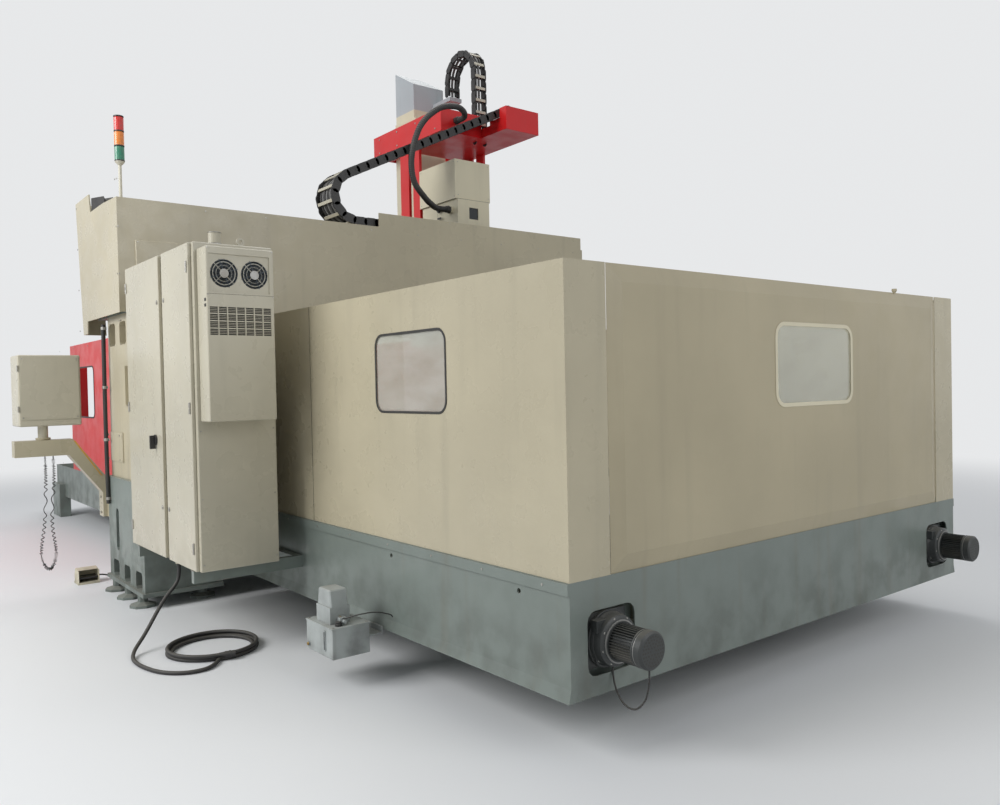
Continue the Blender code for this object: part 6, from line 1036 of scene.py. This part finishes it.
def strip(shape, x, thickness):
    start, end, across = Vector((x, -2.465, 1.152)), Vector((x, -2.278, 0.872)), Vector((0, 0.012, -0.002))
    corners = (start - across * 0.2, start + across, end + across * 0.6, end - across * 0.4)
    join_rings(shape, [[shape.verts.new(corner + Vector((depth, 0, 0))) for corner in corners]
                       for depth in (0, thickness)])


piece("arm_strip", "yellow_edge", [(strip, -0.2405, -0.0012), (strip, -0.1195, 0.0012)])

# %% [markdown]
# ## Lubrication unit, junction box and stack light
# A small pump feeds oil to the guideways through thin tubes. Brass fittings and a level glass are the parts
# that make it read as a lubricator rather than as a plain box.

# %% Lubrication unit
fittings = [(post, "Y", (-2.0055, -2.0115), 2.88, 0.19, 0.0085, 6)]
for x, z, away in ((2.905, 0.35, -0.012), (2.905, 0.372, -0.012), (3.065, 0.345, 0.012)):
    fittings += posts("X", -1.915, z, (x - away, x + away * 0.4, 0.0075, 6),
                      (x + away * 0.4, x + away, 0.0045, 14))
piece("lube_fittings", "brass", fittings, bevel=0.0005)
piece("oil_filler_cap", "black_plastic",
      posts("Z", 3.1, -1.945, (0.314, 0.329, 0.0185, 24), (0.329, 0.337, 0.015, 12)), bevel=0.0015)
piece("level_glass", "screen_glass", [(block, (3.0555, -2.007, 0.198), (3.0645, -2.0055, 0.287))],
      bevel=0.0006)
tube_points = smooth_path([(3.0765, -1.915, 0.345), (3.12, -1.912, 0.352), (3.17, -1.86, 0.372),
                           (3.19, -1.78, 0.372), (3.19, -1.7, 0.345), (3.19, -1.6862, 0.33)], 0.008)
oil_tube = piece("oil_tube", "black_rubber", [(sweep, tube_points, 0.0032, 10)])

# %% Junction box, platform and stack light
STACK_X, STACK_Y, LENS_PITCH = 0.36, -2.2, 0.107
box_low, box_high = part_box("junction_box")
box_middle = (box_low.y + box_high.y) / 2
piece("box_connector", "black_plastic", [
    *posts("Y", 0.115, 3.218, (0.7848, 0.779, 0.03, 28), (0.7792, 0.767, 0.024, 8)),
    (block, (0.085, 0.7815, 3.128), (0.15, 0.785, 3.146))], "saddle", bevel=0.0012)
piece("box_window", "screen_glass", [
    (block, (0.3902, box_middle - 0.0545, 3.1033), (0.392, box_middle + 0.0545, 3.2122))], "saddle",
    bevel=0.0006)
piece("box_seams", "seam_shadow", [
    (block, low, high) for low, high in (
        ((-0.205, 0.7848, 3.2838), (0.385, 0.7872, 3.2862)),
        ((-0.205, 1.1978, 3.2838), (0.385, 1.2002, 3.2862)),
        ((0.3995, 0.8, 3.2838), (0.4008, 1.185, 3.2862)),
        ((0.089, 0.7843, 3.05), (0.0905, 0.7853, 3.283)))],
    "saddle")
piece("platform_lip", "red_sheet", [(block, (0.565, 1.258, 3.9685), (0.599, 1.662, 3.9705))], "saddle",
      bevel=0.0006)
collars = ((z, z + 0.0085, 0.0352, 32) for z in (3.1935 + index * LENS_PITCH for index in range(4)))
piece("lens_collars", "black_plastic", posts("Z", STACK_X, STACK_Y, *collars, (3.518, 3.5205, 0.03, 32)),
      bevel=0.0008)

# %% [markdown]
# ## Screws on flat faces
# A row says which way the heads look, the face's place, where the rows and columns cross, and the head's
# radius and height. Some rows add the body that carries them, and six sides for a hexagon bolt.

# %% Screws
SCREWS = {
    "cooler_screws": ("+X", FACE_X + 0.001, (-2.283, -1.912), (1.345, 2.03, 2.285), 0.0042, 0.003),
    "cabinet_plate_screws": ("+X", 2.1905, (-2.293, -1.868), (0.53, 0.9, 1.28), 0.005, 0.003),
    "pan_ledge_screws": ("-Y", -1.6813, spread(1.15, 4.35, 9), (0.696,), 0.0055, 0.004),
    "left_cover_screws": ("+X", 0.5525, (-2.275,), spread(2.02, 3.02, 4), 0.0055, 0.004),
    "left_cover_face_screws": ("-Y", -2.2808, (-0.66, 0.525), spread(2.02, 3.02, 4), 0.006, 0.004),
    "hatch_screws": ("+X", 0.5635, (-2.148, -1.815), (2.315, 2.585), 0.005, 0.004),
    "rail_cover_screws": ("+X", 0.5515, spread(-1.65, 2.15, 9), (2.13, 2.86), 0.0055, 0.004),
    "tray_screws": ("+X", 0.5505, spread(0.0, 2.1, 8), (3.000,), 0.0045, 0.003),
    "cover_plate_screws": ("-Y", -2.2408, (-0.02, 0.28), (1.01, 1.19), 0.007, 0.004),
    "anchor_bolts": ("+Z", 0.119, (-0.05, 0.195, 0.49, 0.79), (-2.225, 2.225), 0.014, 0.014, "machine", 6),
    "front_left_guard_screws": ("-Y", -1.6745, spread(-4.6, -1.0, 6), (0.66, 2.035), 0.0055, 0.004),
    "front_right_guard_screws": ("+Y", 1.6745, spread(-4.6, -1.0, 6), (0.66, 2.035), 0.0055, 0.004),
    "pendant_lid_screws": ("+X", -0.1145, (-2.797, -2.433), (1.336, 1.772), 0.0055, 0.0035, "pendant"),
    "arm_foot_bolts": ("-Y", -2.2735, (-0.18,), (0.58, 0.7), 0.01, 0.007, "machine", 6),
    "tank_lid_screws": ("+Z", 0.3165, (2.862, 3.125), (-1.988, -1.802), 0.005, 0.003),
    "box_screws": ("+X", 0.4008, (0.812, 1.172), (3.32, 3.63), 0.0045, 0.003, "saddle"),
    "box_side_screws": ("-Y", 0.7845, (-0.19, 0.37), (3.31, 3.635), 0.0045, 0.003, "saddle"),
    "platform_bolts": ("-Y", 0.7685, (-0.95, -0.6, -0.25, 0.1), (4.01, 4.15), 0.009, 0.006, "saddle", 6)}
for name, row in SCREWS.items():
    screw_grid(name, *row)
screw_heads("stack_foot_screws", circle_points("Z", 2.9185, STACK_X, STACK_Y, 0.034, (30, 150, 270)), "+Z",
            0.0045, 0.003)
print("small hardware done")

# %% [markdown]
# ## Way covers and wipers
# Telescopic covers ride over each other on rubber wipers. Each wiper belongs to the cover that carries it,
# so it follows that cover as the table moves.

# %% Wipers
for node, body, outward in (("rear_cover_middle", "rear_cover_middle", 1), ("rear_cover_table", "table", 1),
                            ("front_cover_middle", "front_cover_middle", -1),
                            ("front_cover_table", "table", -1)):
    low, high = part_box(node)
    near, far = sorted((high.x, high.x + 0.006) if outward > 0 else (low.x, low.x - 0.006))
    piece(node + "_wiper", "black_rubber", [
        (block, (near, low.y + 0.01, high.z - 0.02), (far, high.y - 0.01, high.z - 0.001))], body,
        bevel=0.001)
